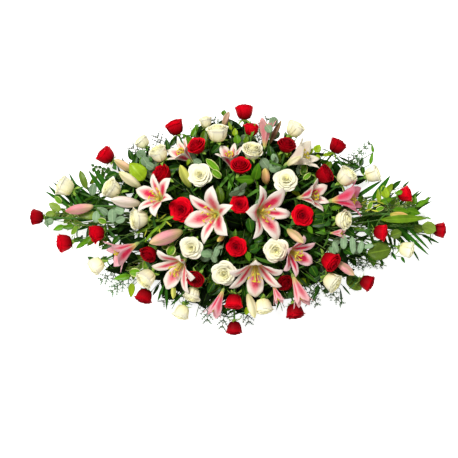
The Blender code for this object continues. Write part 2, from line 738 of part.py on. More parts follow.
def sprig_body(kind, start, towards, tip, bend, begin, space, name, chance, with_root):
    """Closed bmesh of one leafy stem. A leaf that would meet anything is shortened, or left out."""
    gap, longest, sweep, sides = HABITS[kind]
    flat_kind = sides == 3
    curve = sprig_curve(start, towards, tip, bend)
    span = sum((curve((k + 1) / 20) - curve(k / 20)).length for k in range(20))
    leafy = span * (1 - begin)
    pairs = max(2, int(leafy / gap))
    shares, leaf_at = [0.0, begin * 0.5], {}
    for k in range(pairs):
        here = begin + (1 - begin) * (k + 0.3) / pairs
        shares.append(here)
        leaf_at[len(shares) - 1] = k / pairs
        if not flat_kind:
            shares.append(here + NODE_LENGTH / span)
    shares.append(1.0)
    points = [curve(share) for share in shares]
    trees = space.others(name)
    beside = space.trees.get(name, [])
    if not space.way_is_clear(points, SPRIG_RADIUS + STEM_CLEAR, trees):
        return None
    if not space.way_is_clear(points[len(points) // 3 :], SPRIG_RADIUS + STEM_CLEAR, beside):
        return None
    radii = [SPRIG_RADIUS * (1.25 - 0.55 * share) for share in shares]
    path = list(zip(points, radii))
    if with_root:
        path[0] = (start, SPRIG_ROOT)
        path.insert(0, (start - towards * (ROOT_DEPTH + ROOT_OUT), SPRIG_ROOT))
        leaf_at = {number + 1: share for number, share in leaf_at.items()}
    mesh = bmesh.new()
    ahead = Vector((points[-1].x - start.x, points[-1].y - start.y, 0)).normalized()
    above = (Vector((0, 0, 1)) - ahead * 0.5).normalized()
    across = ahead.cross(Vector((0, 0, 1)))
    rings = stem_rings(path, above if flat_kind else (above + across).normalized(), sides)
    made = [add_ring(mesh, ring) for ring in rings]
    mesh.faces.new(reversed(made[0]))
    grown = []
    for number, (a, b) in enumerate(zip(made, made[1:])):
        along = (path[number + 1][0] - path[number][0]).normalized()
        for k in range(sides):
            corners = [a[k], a[(k + 1) % sides], b[(k + 1) % sides], b[k]]
            leaf = None
            used = (0, 2) if flat_kind or number % 4 < 2 else (1, 3)
            if number in leaf_at and k in used:
                middle = sum((v.co for v in corners), Vector()) / 4
                outward = (middle - (path[number][0] + path[number + 1][0]) / 2).normalized()
                if flat_kind:
                    outward = Vector((outward.x, outward.y, outward.z * 0.35)).normalized()
                length = longest * leaf_share(kind, leaf_at[number])
                room = (trees + beside, grown)
                leaf = free_leaf(kind, corners, middle, outward, along, length, sweep, room, chance)
            if leaf:
                blade(mesh, corners, *leaf)
            else:
                mesh.faces.new((corners[0], corners[1], corners[2]))
                mesh.faces.new((corners[0], corners[2], corners[3]))
    mesh.faces.new(made[-1])
    return mesh


def blade_tree(base, rings, tip):
    """Search tree of a blade's skin, from its four base points."""
    points = base + [point for ring in rings for point in ring] + [tip]
    faces = []
    for low in range(0, 4 * len(rings), 4):
        for k in range(4):
            a, b = low + k, low + (k + 1) % 4
            faces += [(a, b, b + 4), (a, b + 4, a + 4)]
    top = 4 * len(rings)
    faces += [(top + k, top + (k + 1) % 4, top + 4) for k in range(4)]
    return BVHTree.FromPolygons(points, faces)


def free_leaf(kind, corners, root, outward, along, length, sweep, room, chance):
    """Rings and tip of a leaf that meets nothing, or None. It tries other sweeps and lengths."""
    others, grown = room
    droop = chance.uniform(-LEAF_DROOP, LEAF_DROOP)
    for scale in LEAF_SCALES:
        for turn in LEAF_TURNS:
            angle = math.radians(sweep + turn)
            grow = outward * math.cos(angle) + along * math.sin(angle)
            grow = (grow + Vector((0, 0, droop))).normalized()
            wide = (along - grow * along.dot(grow)).normalized()
            reach = length * scale
            stations = [(share, width * reach, sag * reach) for share, width, sag in LEAF_SHAPES[kind]]
            rings, tip = blade_rings(root, grow * reach, wide, stations)
            fat, _ = blade_rings(root, grow * reach, wide, stations, BLADE_THICK + 2 * BLADE_CLEAR)
            far = tip + grow * BLADE_CLEAR
            if min(point.z for ring in fat + [[far]] for point in ring) < FLOOR_CLEAR:
                continue
            skin = blade_tree([v.co + outward * 0.0002 for v in corners], fat, far)
            foot, _ = blade_rings(root + grow * LEAF_FOOT, grow, wide, ((0.0, LEAF_FOOT, 0), (1, 0, 0)))
            slim = blade_tree(foot[0], fat, far)
            if any(skin.overlap(other) for other in others) or any(slim.overlap(other) for other in grown):
                continue
            grown.append(slim)
            return rings, tip
    return None


def sprig_bends():
    """Bends of a sprig's stem, sideways and up, and lifts of its tip, the smallest first."""
    yield (0.0, 0.0), 0.0
    for reach in SPRIG_OFFSETS:
        for k in range(SPRIG_DIRECTIONS):
            angle = math.tau * k / SPRIG_DIRECTIONS
            bend = (reach * math.cos(angle), reach * math.sin(angle))
            for lift in TIP_LIFTS:
                yield bend, lift


def build_greens(space, roots, spray):
    chance = random.Random(SEED)
    for name, (kind, sprigs) in GREENS.items():
        tips = []
        for px, py, height, begin in sprigs:
            tip = place(px, py)
            tip.z = height
            tips.append((tip, begin))
        middle = sum((tip for tip, _ in tips), Vector()) / len(tips)
        point, towards = free_root(middle, roots)
        fork = point + towards * ROOT_OUT
        bodies = []
        for number, (tip, begin) in enumerate(tips):
            body = None
            for bend, lift in sprig_bends():
                moved = tip + Vector((0, 0, lift))
                body = sprig_body(kind, fork, towards, moved, bend, begin, space, name, chance, number == 0)
                if body:
                    break
            if body is None:
                raise ValueError(f"no clear way for sprig {number} of {name}")
            bodies.append(body)
            space.add_bmesh(name, body)
        joined(name, bodies, spray, f"{kind}_leaf")


def box(name, size, middle, collection, colour):
    bpy.ops.mesh.primitive_cube_add(size=1, location=middle)
    made = bpy.context.object
    made.name = made.data.name = name
    made.scale = size
    bpy.ops.object.transform_apply(location=False, rotation=False, scale=True)
    made.data.materials.append(material(colour))
    for old in made.users_collection:
        old.objects.unlink(made)
    collection.objects.link(made)
    return made


def build_tray(spray):
    """A shallow open tray whose walls flare a little, with a flat base."""
    length = 2 * BRICK[0] + BRICK_GAP + 2 * TRAY_MARGIN
    width = BRICK[1] + 2 * TRAY_MARGIN
    mesh = bmesh.new()
    rings = []
    for grown, height in (
        (TRAY_WALL, 0.0),
        (TRAY_WALL + TRAY_FLARE, TRAY_HEIGHT),
        (TRAY_FLARE, TRAY_HEIGHT),
        (0.0, TRAY_WALL),
    ):
        x, y = length / 2 + grown, width / 2 + grown
        corners = ((x, -y, height), (x, y, height), (-x, y, height), (-x, -y, height))
        rings.append([Vector(corner) for corner in corners])
    loft(mesh, rings)
    return object_from(mesh, "tray", spray, "tray")


def foam_brick(name, sign, spray):
    middle = (sign * (BRICK[0] + BRICK_GAP) / 2, 0, TRAY_WALL + BRICK_GAP + BRICK[2] / 2)
    return box(name, BRICK, middle, spray, "foam")


def drill_foam(cutters, roots):
    """A plain hole in the foam for each root."""
    for name, sign in FOAM_BRICKS:
        brick = bpy.data.objects[name]
        holes = bpy.data.collections.new(name + "_holes")
        cutters.children.link(holes)
        for number, (point, towards) in enumerate(roots):
            if point.x * sign < 0:
                continue
            mesh = bmesh.new()
            radius = (ROOT_RADIUS + ROOT_CLEAR) / math.cos(math.pi / HOLE_SIDES)
            inner = point - towards * (ROOT_DEPTH + ROOT_CLEAR)
            outer = point + towards * HOLE_OUT
            loft(mesh, stem_rings([(inner, radius), (outer, radius)], Vector((0.1, 0.2, 1)), HOLE_SIDES))
            hole = object_from(mesh, f"{name}_hole_{number}", holes)
            hole.hide_render = True
            hole.display_type = "WIRE"
        cut = brick.modifiers.new("holes", "BOOLEAN")
        cut.operation = "DIFFERENCE"
        cut.operand_type = "COLLECTION"
        cut.collection = holes


def build_tapes(spray):
    """Two bands of florist's tape over the foam and down to the tray's rim."""
    bands = []
    for name, x in zip(("tape_left", "tape_right"), TAPE_PLACES):
        half = BRICK[1] / 2 + TAPE_GAP
        top = TRAY_WALL + BRICK_GAP + BRICK[2] + TAPE_GAP
        low = TRAY_HEIGHT + RIM_GAP
        inner = [(-half, low), (-half, top), (half, top), (half, low)]
        outer = [(half + TAPE_THICK, low), (half + TAPE_THICK, top + TAPE_THICK),
                 (-half - TAPE_THICK, top + TAPE_THICK), (-half - TAPE_THICK, low)]
        mesh = bmesh.new()
        ring = [Vector((x - TAPE_WIDTH / 2, y, z)) for y, z in inner + outer]
        loft(mesh, [ring, [p + Vector((TAPE_WIDTH, 0, 0)) for p in ring]])
        bmesh.ops.recalc_face_normals(mesh, faces=mesh.faces)
        bands.append(object_from(mesh, name, spray, "tape"))
    return bands


def main():
    for old in list(bpy.data.objects):
        bpy.data.objects.remove(old)
    spray = bpy.data.collections.new("casket_spray")
    cutters = bpy.data.collections.new("cutters")
    for collection in (spray, cutters):
        bpy.context.scene.collection.children.link(collection)
    reds = {name: [Bloom("rose", *row) for row in rows] for name, rows in RED_ROSES.items()}
    whites = {name: [Bloom("rose", *row) for row in rows] for name, rows in WHITE_ROSES.items()}
    lilies = {name: [Bloom(*row) for row in rows] for name, rows in LILIES.items()}
    space = Space()
    holders = [build_tray(spray), *build_tapes(spray)]
    holders += [foam_brick(name, sign, spray) for name, sign in FOAM_BRICKS]
    for holder in holders:
        space.add_object(holder)
    for groups in (reds, whites, lilies):
        for name, blooms in groups.items():
            for bloom in blooms:
                head = bloom.body(with_stem=False)
                space.add_bmesh(name, head)
                head.free()
    roots = []
    build_blooms(lilies, "lily_petal", space, roots, spray)
    build_blooms(reds, "red_petal", space, roots, spray)
    build_blooms(whites, "white_petal", space, roots, spray)
    build_greens(space, roots, spray)
    drill_foam(cutters, roots)


if __name__ == "__main__":
    main()
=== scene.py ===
"""A double-ended casket spray, dressed: curled petals, ribbed leaves and greenery over its solids.

Metres, +Z up, +X along the spray, origin at the middle of the tray's flat base.
Every bloom and every leafy stem stands where its solid does. The stems and the leaves of the
greenery are read from the solids, and finer ones are grown in their places.
"""

import heapq
import math
import random
from itertools import combinations

import bpy
import numpy as np
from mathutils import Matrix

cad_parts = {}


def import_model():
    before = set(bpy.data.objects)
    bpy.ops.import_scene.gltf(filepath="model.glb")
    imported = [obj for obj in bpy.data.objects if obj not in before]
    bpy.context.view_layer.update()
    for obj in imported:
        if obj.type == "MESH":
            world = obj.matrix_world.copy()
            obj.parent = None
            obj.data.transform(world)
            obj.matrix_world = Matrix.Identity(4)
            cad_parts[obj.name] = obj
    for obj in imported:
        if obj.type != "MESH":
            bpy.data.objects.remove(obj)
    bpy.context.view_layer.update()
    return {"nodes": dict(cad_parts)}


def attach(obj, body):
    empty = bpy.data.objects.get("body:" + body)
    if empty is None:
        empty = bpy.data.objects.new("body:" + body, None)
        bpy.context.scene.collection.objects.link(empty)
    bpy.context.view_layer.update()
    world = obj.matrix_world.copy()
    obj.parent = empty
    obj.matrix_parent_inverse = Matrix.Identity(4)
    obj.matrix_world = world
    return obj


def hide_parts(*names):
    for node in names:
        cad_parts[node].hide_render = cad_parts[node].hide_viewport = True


# The plan of the photograph, and the mound that the middles of the blooms lie on.
PIXEL = 0.0029
CENTRE_PX = (238, 221)
PHOTO_PX = 458
MOUND_HALF = (0.603, 0.331)
MOUND_POWER = 1.35
MOUND_CROWN = 0.262
MOUND_RIM = 0.082

# The foam that the stems stand in.
FOAM_HALF = (0.2305, 0.053)
FOAM_TOP = 0.0789

# Stems: their radius under the flowers and in the greenery, where they taper by these shares, then
# the radii from foot to tip under a single leaf and in the filling. How far an added stem starts
# inside the foam, and within what reach the points of a solid stem count as one ring.
STEM_RADIUS = 0.0028
SPRIG_RADIUS = 0.0017
SPRIG_TAPER = (1.2, 0.55)
SHOWN_STEM = (0.0018, 0.0010)
FILLER_STEM = (0.0020, 0.0010)
STEM_START = 0.006
BLOOM_RING = 0.0085
# Greens of the stems and of what joins them to the flowers.
STEM_GREENS = {
    "bloom": (0.07, 0.18, 0.03),
    "sprig": (0.16, 0.17, 0.07),
    "palm": (0.12, 0.24, 0.04),
    "shown": (0.10, 0.20, 0.04),
    "filler": (0.13, 0.20, 0.05),
    "calyx": (0.25, 0.42, 0.06),
    "sepal": (0.27, 0.44, 0.06),
    "cone": (0.36, 0.46, 0.12),
}
# How high above a bloom's middle its stem ends, in shares of its size: roses and wide-open lilies, others.
NECK_WIDE = -0.42
NECK_SLIM = -0.50
PETAL_THICK = 0.0005
LEAF_THICK = 0.0005
# The lowest that an added leaf may reach.
FLOOR_CLEAR = 0.004
# How far the filling keeps from the marked points of a leaf that is meant to be seen.
SHOWN_REACH = 0.014
# Where the turn of a wide-open lily is counted from.
TURN_ZERO = 150
SEED = 23

# Roses. Columns: photo x, photo y, width in pixels, lean from upright and heading in degrees
# (0 is right and 90 up in the photograph), lift above the mound in millimetres.
RED_ROSES = {
    "red_roses_left_end": [
        (38, 217, 17, 86, 178, 0),
        (66, 243, 19, 84, 190, 0),
        (99, 233, 18, 74, 195, -18),
    ],
    "red_roses_left_top": [(106, 156, 19, 82, 140, 0), (162, 175, 21, 60, 150, -30)],
    "red_roses_top_left": [(176, 128, 19, 82, 112, 0), (197, 147, 19, 55, 120, 16)],
    "red_roses_top": [
        (244, 113, 19, 85, 92, 0),
        (251, 131, 15, 78, 85, 4),
        (240, 167, 20, 44, 95, 16),
    ],
    "red_roses_top_right": [
        (286, 146, 19, 60, 75, 4),
        (322, 176, 19, 66, 30, 0),
        (336, 147, 18, 84, 60, 0),
    ],
    "red_roses_right_end": [(403, 195, 17, 80, 15, 0), (439, 230, 16, 88, -5, 0)],
    "red_roses_right": [(378, 232, 17, 84, -8, 0), (366, 282, 17, 84, -25, 0)],
    "red_roses_crown": [(182, 210, 25, 10, 200, -12), (239, 205, 20, 5, 90, -4)],
    "red_roses_crown_right": [(236, 247, 21, 10, 250, 0), (301, 216, 23, 12, 0, -4)],
    "red_roses_bottom_right": [
        (328, 260, 20, 64, -35, 0),
        (284, 282, 17, 45, -40, -44),
        (294, 310, 19, 80, -80, 0),
    ],
    "red_roses_bottom": [
        (196, 278, 18, 40, 240, 12),
        (234, 300, 18, 76, 268, 4),
        (234, 327, 17, 87, 268, 0),
    ],
    "red_roses_bottom_left": [(150, 254, 18, 60, 235, -6), (145, 295, 18, 80, 250, 0)],
}
WHITE_ROSES = {
    "white_roses_left": [
        (66, 187, 21, 82, 155, 0),
        (114, 190, 20, 66, 150, 0),
        (141, 219, 21, 68, 185, -28),
    ],
    "white_roses_top_left": [(143, 143, 15, 82, 130, 0), (160, 155, 19, 68, 120, 0)],
    "white_roses_top": [
        (206, 123, 14, 80, 100, -6),
        (218, 135, 21, 70, 95, 6),
        (200, 176, 25, 12, 110, 0),
    ],
    "white_roses_top_middle": [(252, 152, 21, 52, 80, -8), (285, 181, 25, 22, 80, 0)],
    "white_roses_top_right": [
        (294, 130, 19, 80, 60, 0),
        (344, 178, 21, 70, 50, 0),
        (371, 175, 18, 80, 20, 0),
    ],
    "white_roses_right": [(342, 220, 20, 60, 0, 0), (405, 249, 18, 82, -15, 0)],
    "white_roses_right_low": [(330, 281, 20, 72, -35, 0), (275, 250, 26, 12, -60, 0)],
    "white_roses_bottom": [(224, 273, 26, 18, 265, 0), (263, 305, 19, 80, 275, -8)],
    "white_roses_bottom_left": [
        (192, 247, 24, 12, 240, -8),
        (193, 293, 17, 70, 255, -10),
        (182, 311, 18, 82, 250, 0),
    ],
    "white_roses_left_low": [(98, 265, 18, 82, 215, 0), (148, 277, 20, 64, 225, 0)],
}
# Lilies: kind, photo x and y, length in pixels, lean, heading, lift, turn about the axis,
# then the look: a name in LILY_LOOKS for a flower, or in BUD_LOOKS for a bud.
LILIES = {
    "lilies_left": [
        ("open", 158, 197, 24, 39, 148, 10, 42, "blazed"),
        ("bud", 125, 166, 23, 75, 149, 0, 0, "peach"),
        ("bud", 131, 180, 27, 70, 145, 4, 0, "cream"),
        ("bud", 127, 202, 31, 70, 172, 0, 0, "pale"),
    ],
    "lilies_top_left": [
        ("flare", 186, 157, 22, 62, 140, -24, 0, "blazed"),
        ("bud", 186, 177, 27, 62, 114, -10, 0, "green"),
    ],
    "lilies_top": [
        ("flare", 231, 162, 22, 60, 102, -40, 0, "blazed"),
        ("bud", 226, 120, 17, 76, 68, 6, 0, "brown"),
        ("half", 265, 138, 24, 76, 85, -10, 0, "dusky"),
        ("bud", 275, 133, 27, 76, 63, -10, 0, "dusky"),
    ],
    "lilies_crown_left": [
        ("open", 212, 215, 30, 33, 189, 10, 78, "blazed"),
        ("bud", 221, 238, 14, 42, 223, -14, 0, "orange"),
    ],
    "lilies_crown_right": [
        ("open", 264, 213, 31, 41, 351, 6, 56, "blazed"),
        ("bud", 265, 177, 21, 45, 96, -4, 0, "amber"),
    ],
    "lilies_right_top": [
        ("flare", 296, 160, 28, 70, 27, -16, 0, "ivory"),
        ("bud", 293, 162, 17, 66, 33, 28, 0, "cream"),
        ("flare", 307, 197, 25, 56, 8, -20, 0, "blazed"),
    ],
    "lilies_right": [
        ("flare", 341, 200, 28, 76, 6, -14, 0, "crimson"),
        ("bud", 398, 216, 20, 86, -8, 0, 0, "orange"),
        ("half", 334, 233, 13, 62, 0, -24, 0, "pink"),
    ],
    "lilies_right_low": [
        ("cup", 293, 253, 25, 50, -30, 0, 330, "deep"),
        ("bud", 294, 236, 24, 58, -40, 22, 0, "peach"),
        ("bud", 344, 268, 23, 80, -37, -10, 0, "pink"),
    ],
    "lilies_bottom": [
        ("cup", 255, 270, 33, 52, 272, -14, 270, "blazed"),
        ("half", 275, 291, 16, 74, -70, -12, 0, "pink"),
        ("half", 296, 286, 27, 74, -70, 8, 0, "pink"),
        ("bud", 251, 305, 25, 80, -74, 4, 0, "cream"),
    ],
    "lilies_bottom_left": [
        ("cup", 179, 266, 30, 52, 225, -6, 240, "blazed"),
        ("bud", 174, 291, 15, 70, 270, 0, 0, "green"),
        ("half", 219, 299, 24, 80, 247, 0, 0, "rosy"),
    ],
    "lilies_left_low": [
        ("flare", 128, 249, 27, 78, 208, 0, 0, "rosy"),
        ("bud", 167, 237, 36, 70, 200, 6, 0, "pink"),
        ("bud", 81, 209, 28, 84, 190, 0, 0, "rose"),
    ],
}
# Colour of a flower's edges, then how much of the raspberry blaze it shows.
LILY_LOOKS = {
    "blazed": ((0.86, 0.77, 0.66), 1.00),
    "ivory": ((0.84, 0.77, 0.62), 0.14),
    "rosy": ((0.80, 0.43, 0.46), 0.95),
    "crimson": ((0.70, 0.24, 0.32), 1.00),
    "deep": ((0.82, 0.54, 0.54), 1.15),
    "pink": ((0.84, 0.48, 0.48), 0.85),
    "dusky": ((0.72, 0.36, 0.34), 0.50),
}
# Colours of a bud at its foot, along its middle and at its tip, then how stout it is.
BUD_LOOKS = {
    "peach": ((0.52, 0.50, 0.12), (0.88, 0.56, 0.34), (0.84, 0.66, 0.30), 1.12),
    "cream": ((0.66, 0.64, 0.26), (0.92, 0.82, 0.54), (0.86, 0.78, 0.34), 1.12),
    "pale": ((0.66, 0.58, 0.34), (0.92, 0.76, 0.66), (0.93, 0.84, 0.72), 1.12),
    "pink": ((0.56, 0.50, 0.16), (0.80, 0.33, 0.36), (0.82, 0.58, 0.26), 1.15),
    "rose": ((0.84, 0.62, 0.32), (0.80, 0.32, 0.33), (0.70, 0.14, 0.18), 1.10),
    "orange": ((0.52, 0.54, 0.06), (0.86, 0.46, 0.16), (0.80, 0.66, 0.12), 1.15),
    "amber": ((0.50, 0.36, 0.04), (0.86, 0.44, 0.22), (0.80, 0.62, 0.16), 1.30),
    "green": ((0.30, 0.42, 0.04), (0.66, 0.66, 0.14), (0.72, 0.70, 0.12), 1.10),
    "brown": ((0.34, 0.26, 0.10), (0.56, 0.32, 0.22), (0.60, 0.42, 0.28), 1.10),
    "dusky": ((0.20, 0.12, 0.05), (0.34, 0.18, 0.10), (0.45, 0.32, 0.10), 0.60),
}
# Greenery: kind, then photo x and y of each sprig's tip and the tip's height in metres.
GREENS = {
    "palm_left": ("palm", [(75, 212, 0.050)]),
    "palm_right": ("palm", [(403, 221, 0.050)]),
    "fern_left_low": ("fern", [(99, 281, 0.030), (110, 293, 0.032)]),
    "fern_bottom_left": ("fern", [(162, 303, 0.034), (207, 322, 0.034)]),
    "fern_bottom": ("fern", [(222, 329, 0.028), (249, 324, 0.030)]),
    "fern_bottom_right": ("fern", [(318, 306, 0.034), (343, 305, 0.030)]),
    "fern_right_low": ("fern", [(365, 268, 0.040), (384, 266, 0.034)]),
    "fern_top_right": ("fern", [(371, 142, 0.040), (360, 159, 0.050)]),
    "fern_top": ("fern", [(213, 118, 0.034), (268, 117, 0.034)]),
    "fern_top_left": ("fern", [(131, 146, 0.036), (156, 135, 0.036)]),
    "eucalyptus_left": ("eucalyptus", [(100, 215, 0.140), (118, 211, 0.180)]),
    "eucalyptus_top_left": ("eucalyptus", [(140, 153, 0.150), (154, 168, 0.180)]),
    "eucalyptus_top": ("eucalyptus", [(236, 133, 0.130), (273, 123, 0.120)]),
    "eucalyptus_crown": ("eucalyptus", [(239, 190, 0.280), (274, 159, 0.205)]),
    "eucalyptus_bottom": ("eucalyptus", [(210, 257, 0.245), (222, 247, 0.250)]),
    "eucalyptus_right": ("eucalyptus", [(370, 246, 0.130), (334, 246, 0.170)]),
    "leaves_top": ("broad", [(197, 130, 0.130), (139, 172, 0.170)]),
    "leaves_crown": ("broad", [(320, 218, 0.215), (253, 178, 0.250)]),
    "leaves_right": ("broad", [(426, 219, 0.085), (379, 253, 0.100)]),
    "pittosporum_left": ("variegated", [(51, 212, 0.085), (62, 226, 0.080)]),
    "pittosporum_low": ("variegated", [(171, 250, 0.215), (130, 272, 0.120)]),
    "pittosporum_right": ("variegated", [(421, 203, 0.075), (368, 203, 0.140)]),
}


# Places and frames


def place(px, py, height=0.0):
    """The point over a pixel of the photograph, at a height."""
    return np.array([(px - CENTRE_PX[0]) * PIXEL, (CENTRE_PX[1] - py) * PIXEL, height])


def mound_height(point):
    """Height of the mound's surface, which the middles of the blooms follow."""
    reach = mound_reach(point)
    return MOUND_RIM + (MOUND_CROWN - MOUND_RIM) * math.sqrt(max(0.0, 1 - reach**2))


def mound_reach(point):
    """How far out a point of the plan is: 0 in the middle, 1 on the mound's rim."""
    shares = [abs(point[k]) / MOUND_HALF[k] for k in (0, 1)]
    return sum(share**MOUND_POWER for share in shares) ** (1 / MOUND_POWER)


def unit(vector):
    """The vector, one long."""
    return vector / np.linalg.norm(vector)


def aimed(lean, heading):
    """Unit vector that leans from upright towards a heading, both in degrees."""
    lean, heading = math.radians(lean), math.radians(heading)
    return np.array([math.sin(lean) * math.cos(heading), math.sin(lean) * math.sin(heading), math.cos(lean)])


def turned_about(axis, vector, degrees):
    """A vector turned about an axis that is one long."""
    angle = math.radians(degrees)
    return (
        vector * math.cos(angle)
        + np.cross(axis, vector) * math.sin(angle)
        + axis * np.dot(axis, vector) * (1 - math.cos(angle))
    )


def frame_along(axis, turn=0.0):
    """Rows are the local X, Y and Z of a frame with Z along axis, turned about it by degrees."""
    side = np.cross(np.array([0.0, 0.0, 1.0]), axis)
    side = unit(side) if np.linalg.norm(side) > 1e-4 else np.array([1.0, 0.0, 0.0])
    side = turned_about(axis, side, turn)
    return np.array([side, np.cross(axis, side), axis])


def bezier(share, controls):
    """Points of a cubic curve through the plane or space at the given shares, in the last axis."""
    share = np.asarray(share, float)[..., None]
    first, second, third, last = [np.asarray(control, float) for control in controls]
    rest = 1 - share
    return first * rest**3 + second * 3 * rest**2 * share + third * 3 * rest * share**2 + last * share**3


def rounded(points, rounds=3):
    """A polyline with its corners cut again and again, its ends kept."""
    points = np.asarray(points, float)
    for _ in range(rounds):
        if len(points) < 3:
            break
        low = points[:-1] * 0.75 + points[1:] * 0.25
        high = points[:-1] * 0.25 + points[1:] * 0.75
        inner = np.stack([low, high], axis=1).reshape(-1, 3)[1:-1]
        points = np.concatenate([points[:1], inner, points[-1:]])
    return points


class Bloom:
    """One rose, lily or bud: where its head is and how it faces."""

    def __init__(self, kind, px, py, size, lean, heading, lift, turn=0.0, look=None):
        self.kind, self.lean, self.look = kind, lean, look
        self.size = size * PIXEL
        self.spot = (px, py)
        self.middle = place(px, py)
        self.middle[2] = mound_height(self.middle) + lift / 1000
        self.axis = aimed(lean, heading)
        self.wide = kind in ("open", "cup")
        self.frame = frame_along(self.axis, turn - (TURN_ZERO + heading if self.wide else 0.0))

    def at(self, local):
        """Points given in shares of the bloom's size about its own axis, moved to their place."""
        return self.middle + np.asarray(local, float) @ self.frame * self.size

    def neck(self):
        """Where the bloom joins its stem."""
        return self.at((0, 0, NECK_WIDE if self.wide or self.kind == "rose" else NECK_SLIM))


# Meshes


class Skin:
    """Collects closed thin sheets and tubes, and makes one object of them."""

    def __init__(self):
        self.points, self.grow, self.tints = [], [], []
        self.faces, self.slots, self.smooth = [], [], []
        self.count = 0

    def add(self, points, grow, tint, faces, slot, smooth=True):
        """Points with their (across, along, seed) and colour, and faces that index into them."""
        number = len(points)
        self.points.append(points)
        self.grow.append(grow)
        tint = np.asarray(tint, float)
        if tint.shape[-1] == 3:
            tint = np.concatenate([tint, np.ones(tint.shape[:-1] + (1,))], axis=-1)
        self.tints.append(np.broadcast_to(tint, (number, 4)))
        self.add_faces(faces, slot, smooth, self.count)
        self.count += number

    def add_faces(self, faces, slot, smooth, start):
        for group in faces:
            self.faces += (group + start).tolist()
            self.slots += [slot] * len(group)
            self.smooth += [smooth] * len(group)

    def build(self, name, looks):
        """One object of all that was added, with its materials and what its points carry."""
        data = bpy.data.meshes.new(name)
        points = np.concatenate(self.points)
        data.from_pydata(points.tolist(), [], self.faces)
        data.polygons.foreach_set("material_index", self.slots)
        data.polygons.foreach_set("use_smooth", self.smooth)
        grow = data.attributes.new("grow", "FLOAT_VECTOR", "POINT")
        grow.data.foreach_set("vector", np.concatenate(self.grow).astype(np.float32).ravel())
        tint = data.attributes.new("tint", "FLOAT_COLOR", "POINT")
        tint.data.foreach_set("color", np.concatenate(self.tints).astype(np.float32).ravel())
        for look in looks:
            data.materials.append(look)
        data.update()
        made = bpy.data.objects.new(name, data)
        bpy.context.scene.collection.objects.link(made)
        return made


SHEET_FACES = {}


def sheet_faces(rows, cols):
    """Faces of a sheet's front, back and rim, for a grid of that many points."""
    if (rows, cols) not in SHEET_FACES:
        index = np.arange(rows * cols).reshape(rows, cols)
        round_each = [index[:-1, :-1], index[:-1, 1:], index[1:, 1:], index[1:, :-1]]
        front = np.stack(round_each, axis=-1).reshape(-1, 4)
        back = front[:, ::-1] + rows * cols
        edge = np.concatenate([index[0, :-1], index[:-1, -1], index[-1, :0:-1], index[:0:-1, 0]])
        after = np.roll(edge, -1)
        rim = np.stack([edge, edge + rows * cols, after + rows * cols, after], axis=-1)
        SHEET_FACES[rows, cols] = ((front, back), (rim,))
    return SHEET_FACES[rows, cols]


def sheet(skin, front, slot, tint, seed, thick=LEAF_THICK, spread=1.0):
    """A closed thin sheet. Its front is a grid of points, with rows from its foot to its tip."""
    rows, cols = front.shape[:2]
    along, across = np.gradient(front, axis=0), np.gradient(front, axis=1)
    normal = np.cross(across, along)
    normal /= np.maximum(np.linalg.norm(normal, axis=-1, keepdims=True), 1e-12)
    back = front - normal * thick
    points = np.concatenate([front.reshape(-1, 3), back.reshape(-1, 3)])
    side, share = np.meshgrid(np.linspace(-spread, spread, cols), np.linspace(0, 1, rows))
    grow = np.stack([side, share, np.full_like(side, seed)], axis=-1).reshape(-1, 3)
    grow = np.concatenate([grow, grow])
    if np.ndim(tint) == 3:
        flat = np.asarray(tint).reshape(-1, np.shape(tint)[-1])
        tint = np.concatenate([flat, flat])
    smooth, sharp = sheet_faces(rows, cols)
    start = skin.count
    skin.add(points, grow, tint, smooth, slot)
    skin.add_faces(sharp, slot, False, start)


def ring_faces(rows, sides):
    """Faces of a round closed skin: its rings of points, then one point at its foot and one at its top."""
    index = np.arange(rows * sides).reshape(rows, sides)
    after = np.roll(index, -1, axis=1)
    wall = np.stack([index[:-1], after[:-1], after[1:], index[1:]], axis=-1).reshape(-1, 4)
    foot = np.stack([after[0], index[0], np.full(sides, rows * sides)], axis=-1)
    top = np.stack([index[-1], after[-1], np.full(sides, rows * sides + 1)], axis=-1)
    return wall, foot, top


def tube(skin, path, radii, slot, tint, sides=6, seed=0.5):
    """A closed round tube along a path, its radius given at each point or once."""
    path = np.asarray(path, float)
    rows = len(path)
    radii = np.broadcast_to(np.asarray(radii, float), (rows,))
    along = np.gradient(path, axis=0)
    along /= np.maximum(np.linalg.norm(along, axis=1, keepdims=True), 1e-12)
    mean = unit(path[-1] - path[0])
    helper = np.eye(3)[np.argmin(np.abs(mean))]
    first = helper - along * (along @ helper)[:, None]
    first /= np.linalg.norm(first, axis=1, keepdims=True)
    second = np.cross(along, first)
    angles = np.arange(sides) * math.tau / sides
    ring = first[:, None] * np.cos(angles)[None, :, None] + second[:, None] * np.sin(angles)[None, :, None]
    points = path[:, None] + ring * radii[:, None, None]
    points = np.concatenate([points.reshape(-1, 3), path[:1], path[-1:]])
    around, share = np.meshgrid(np.linspace(-1, 1, sides), np.linspace(0, 1, rows))
    grow = np.stack([around, share, np.full_like(around, seed)], axis=-1).reshape(-1, 3)
    grow = np.concatenate([grow, [[0, 0, seed], [0, 1, seed]]])
    skin.add(points, grow, tint, ring_faces(rows, sides), slot)


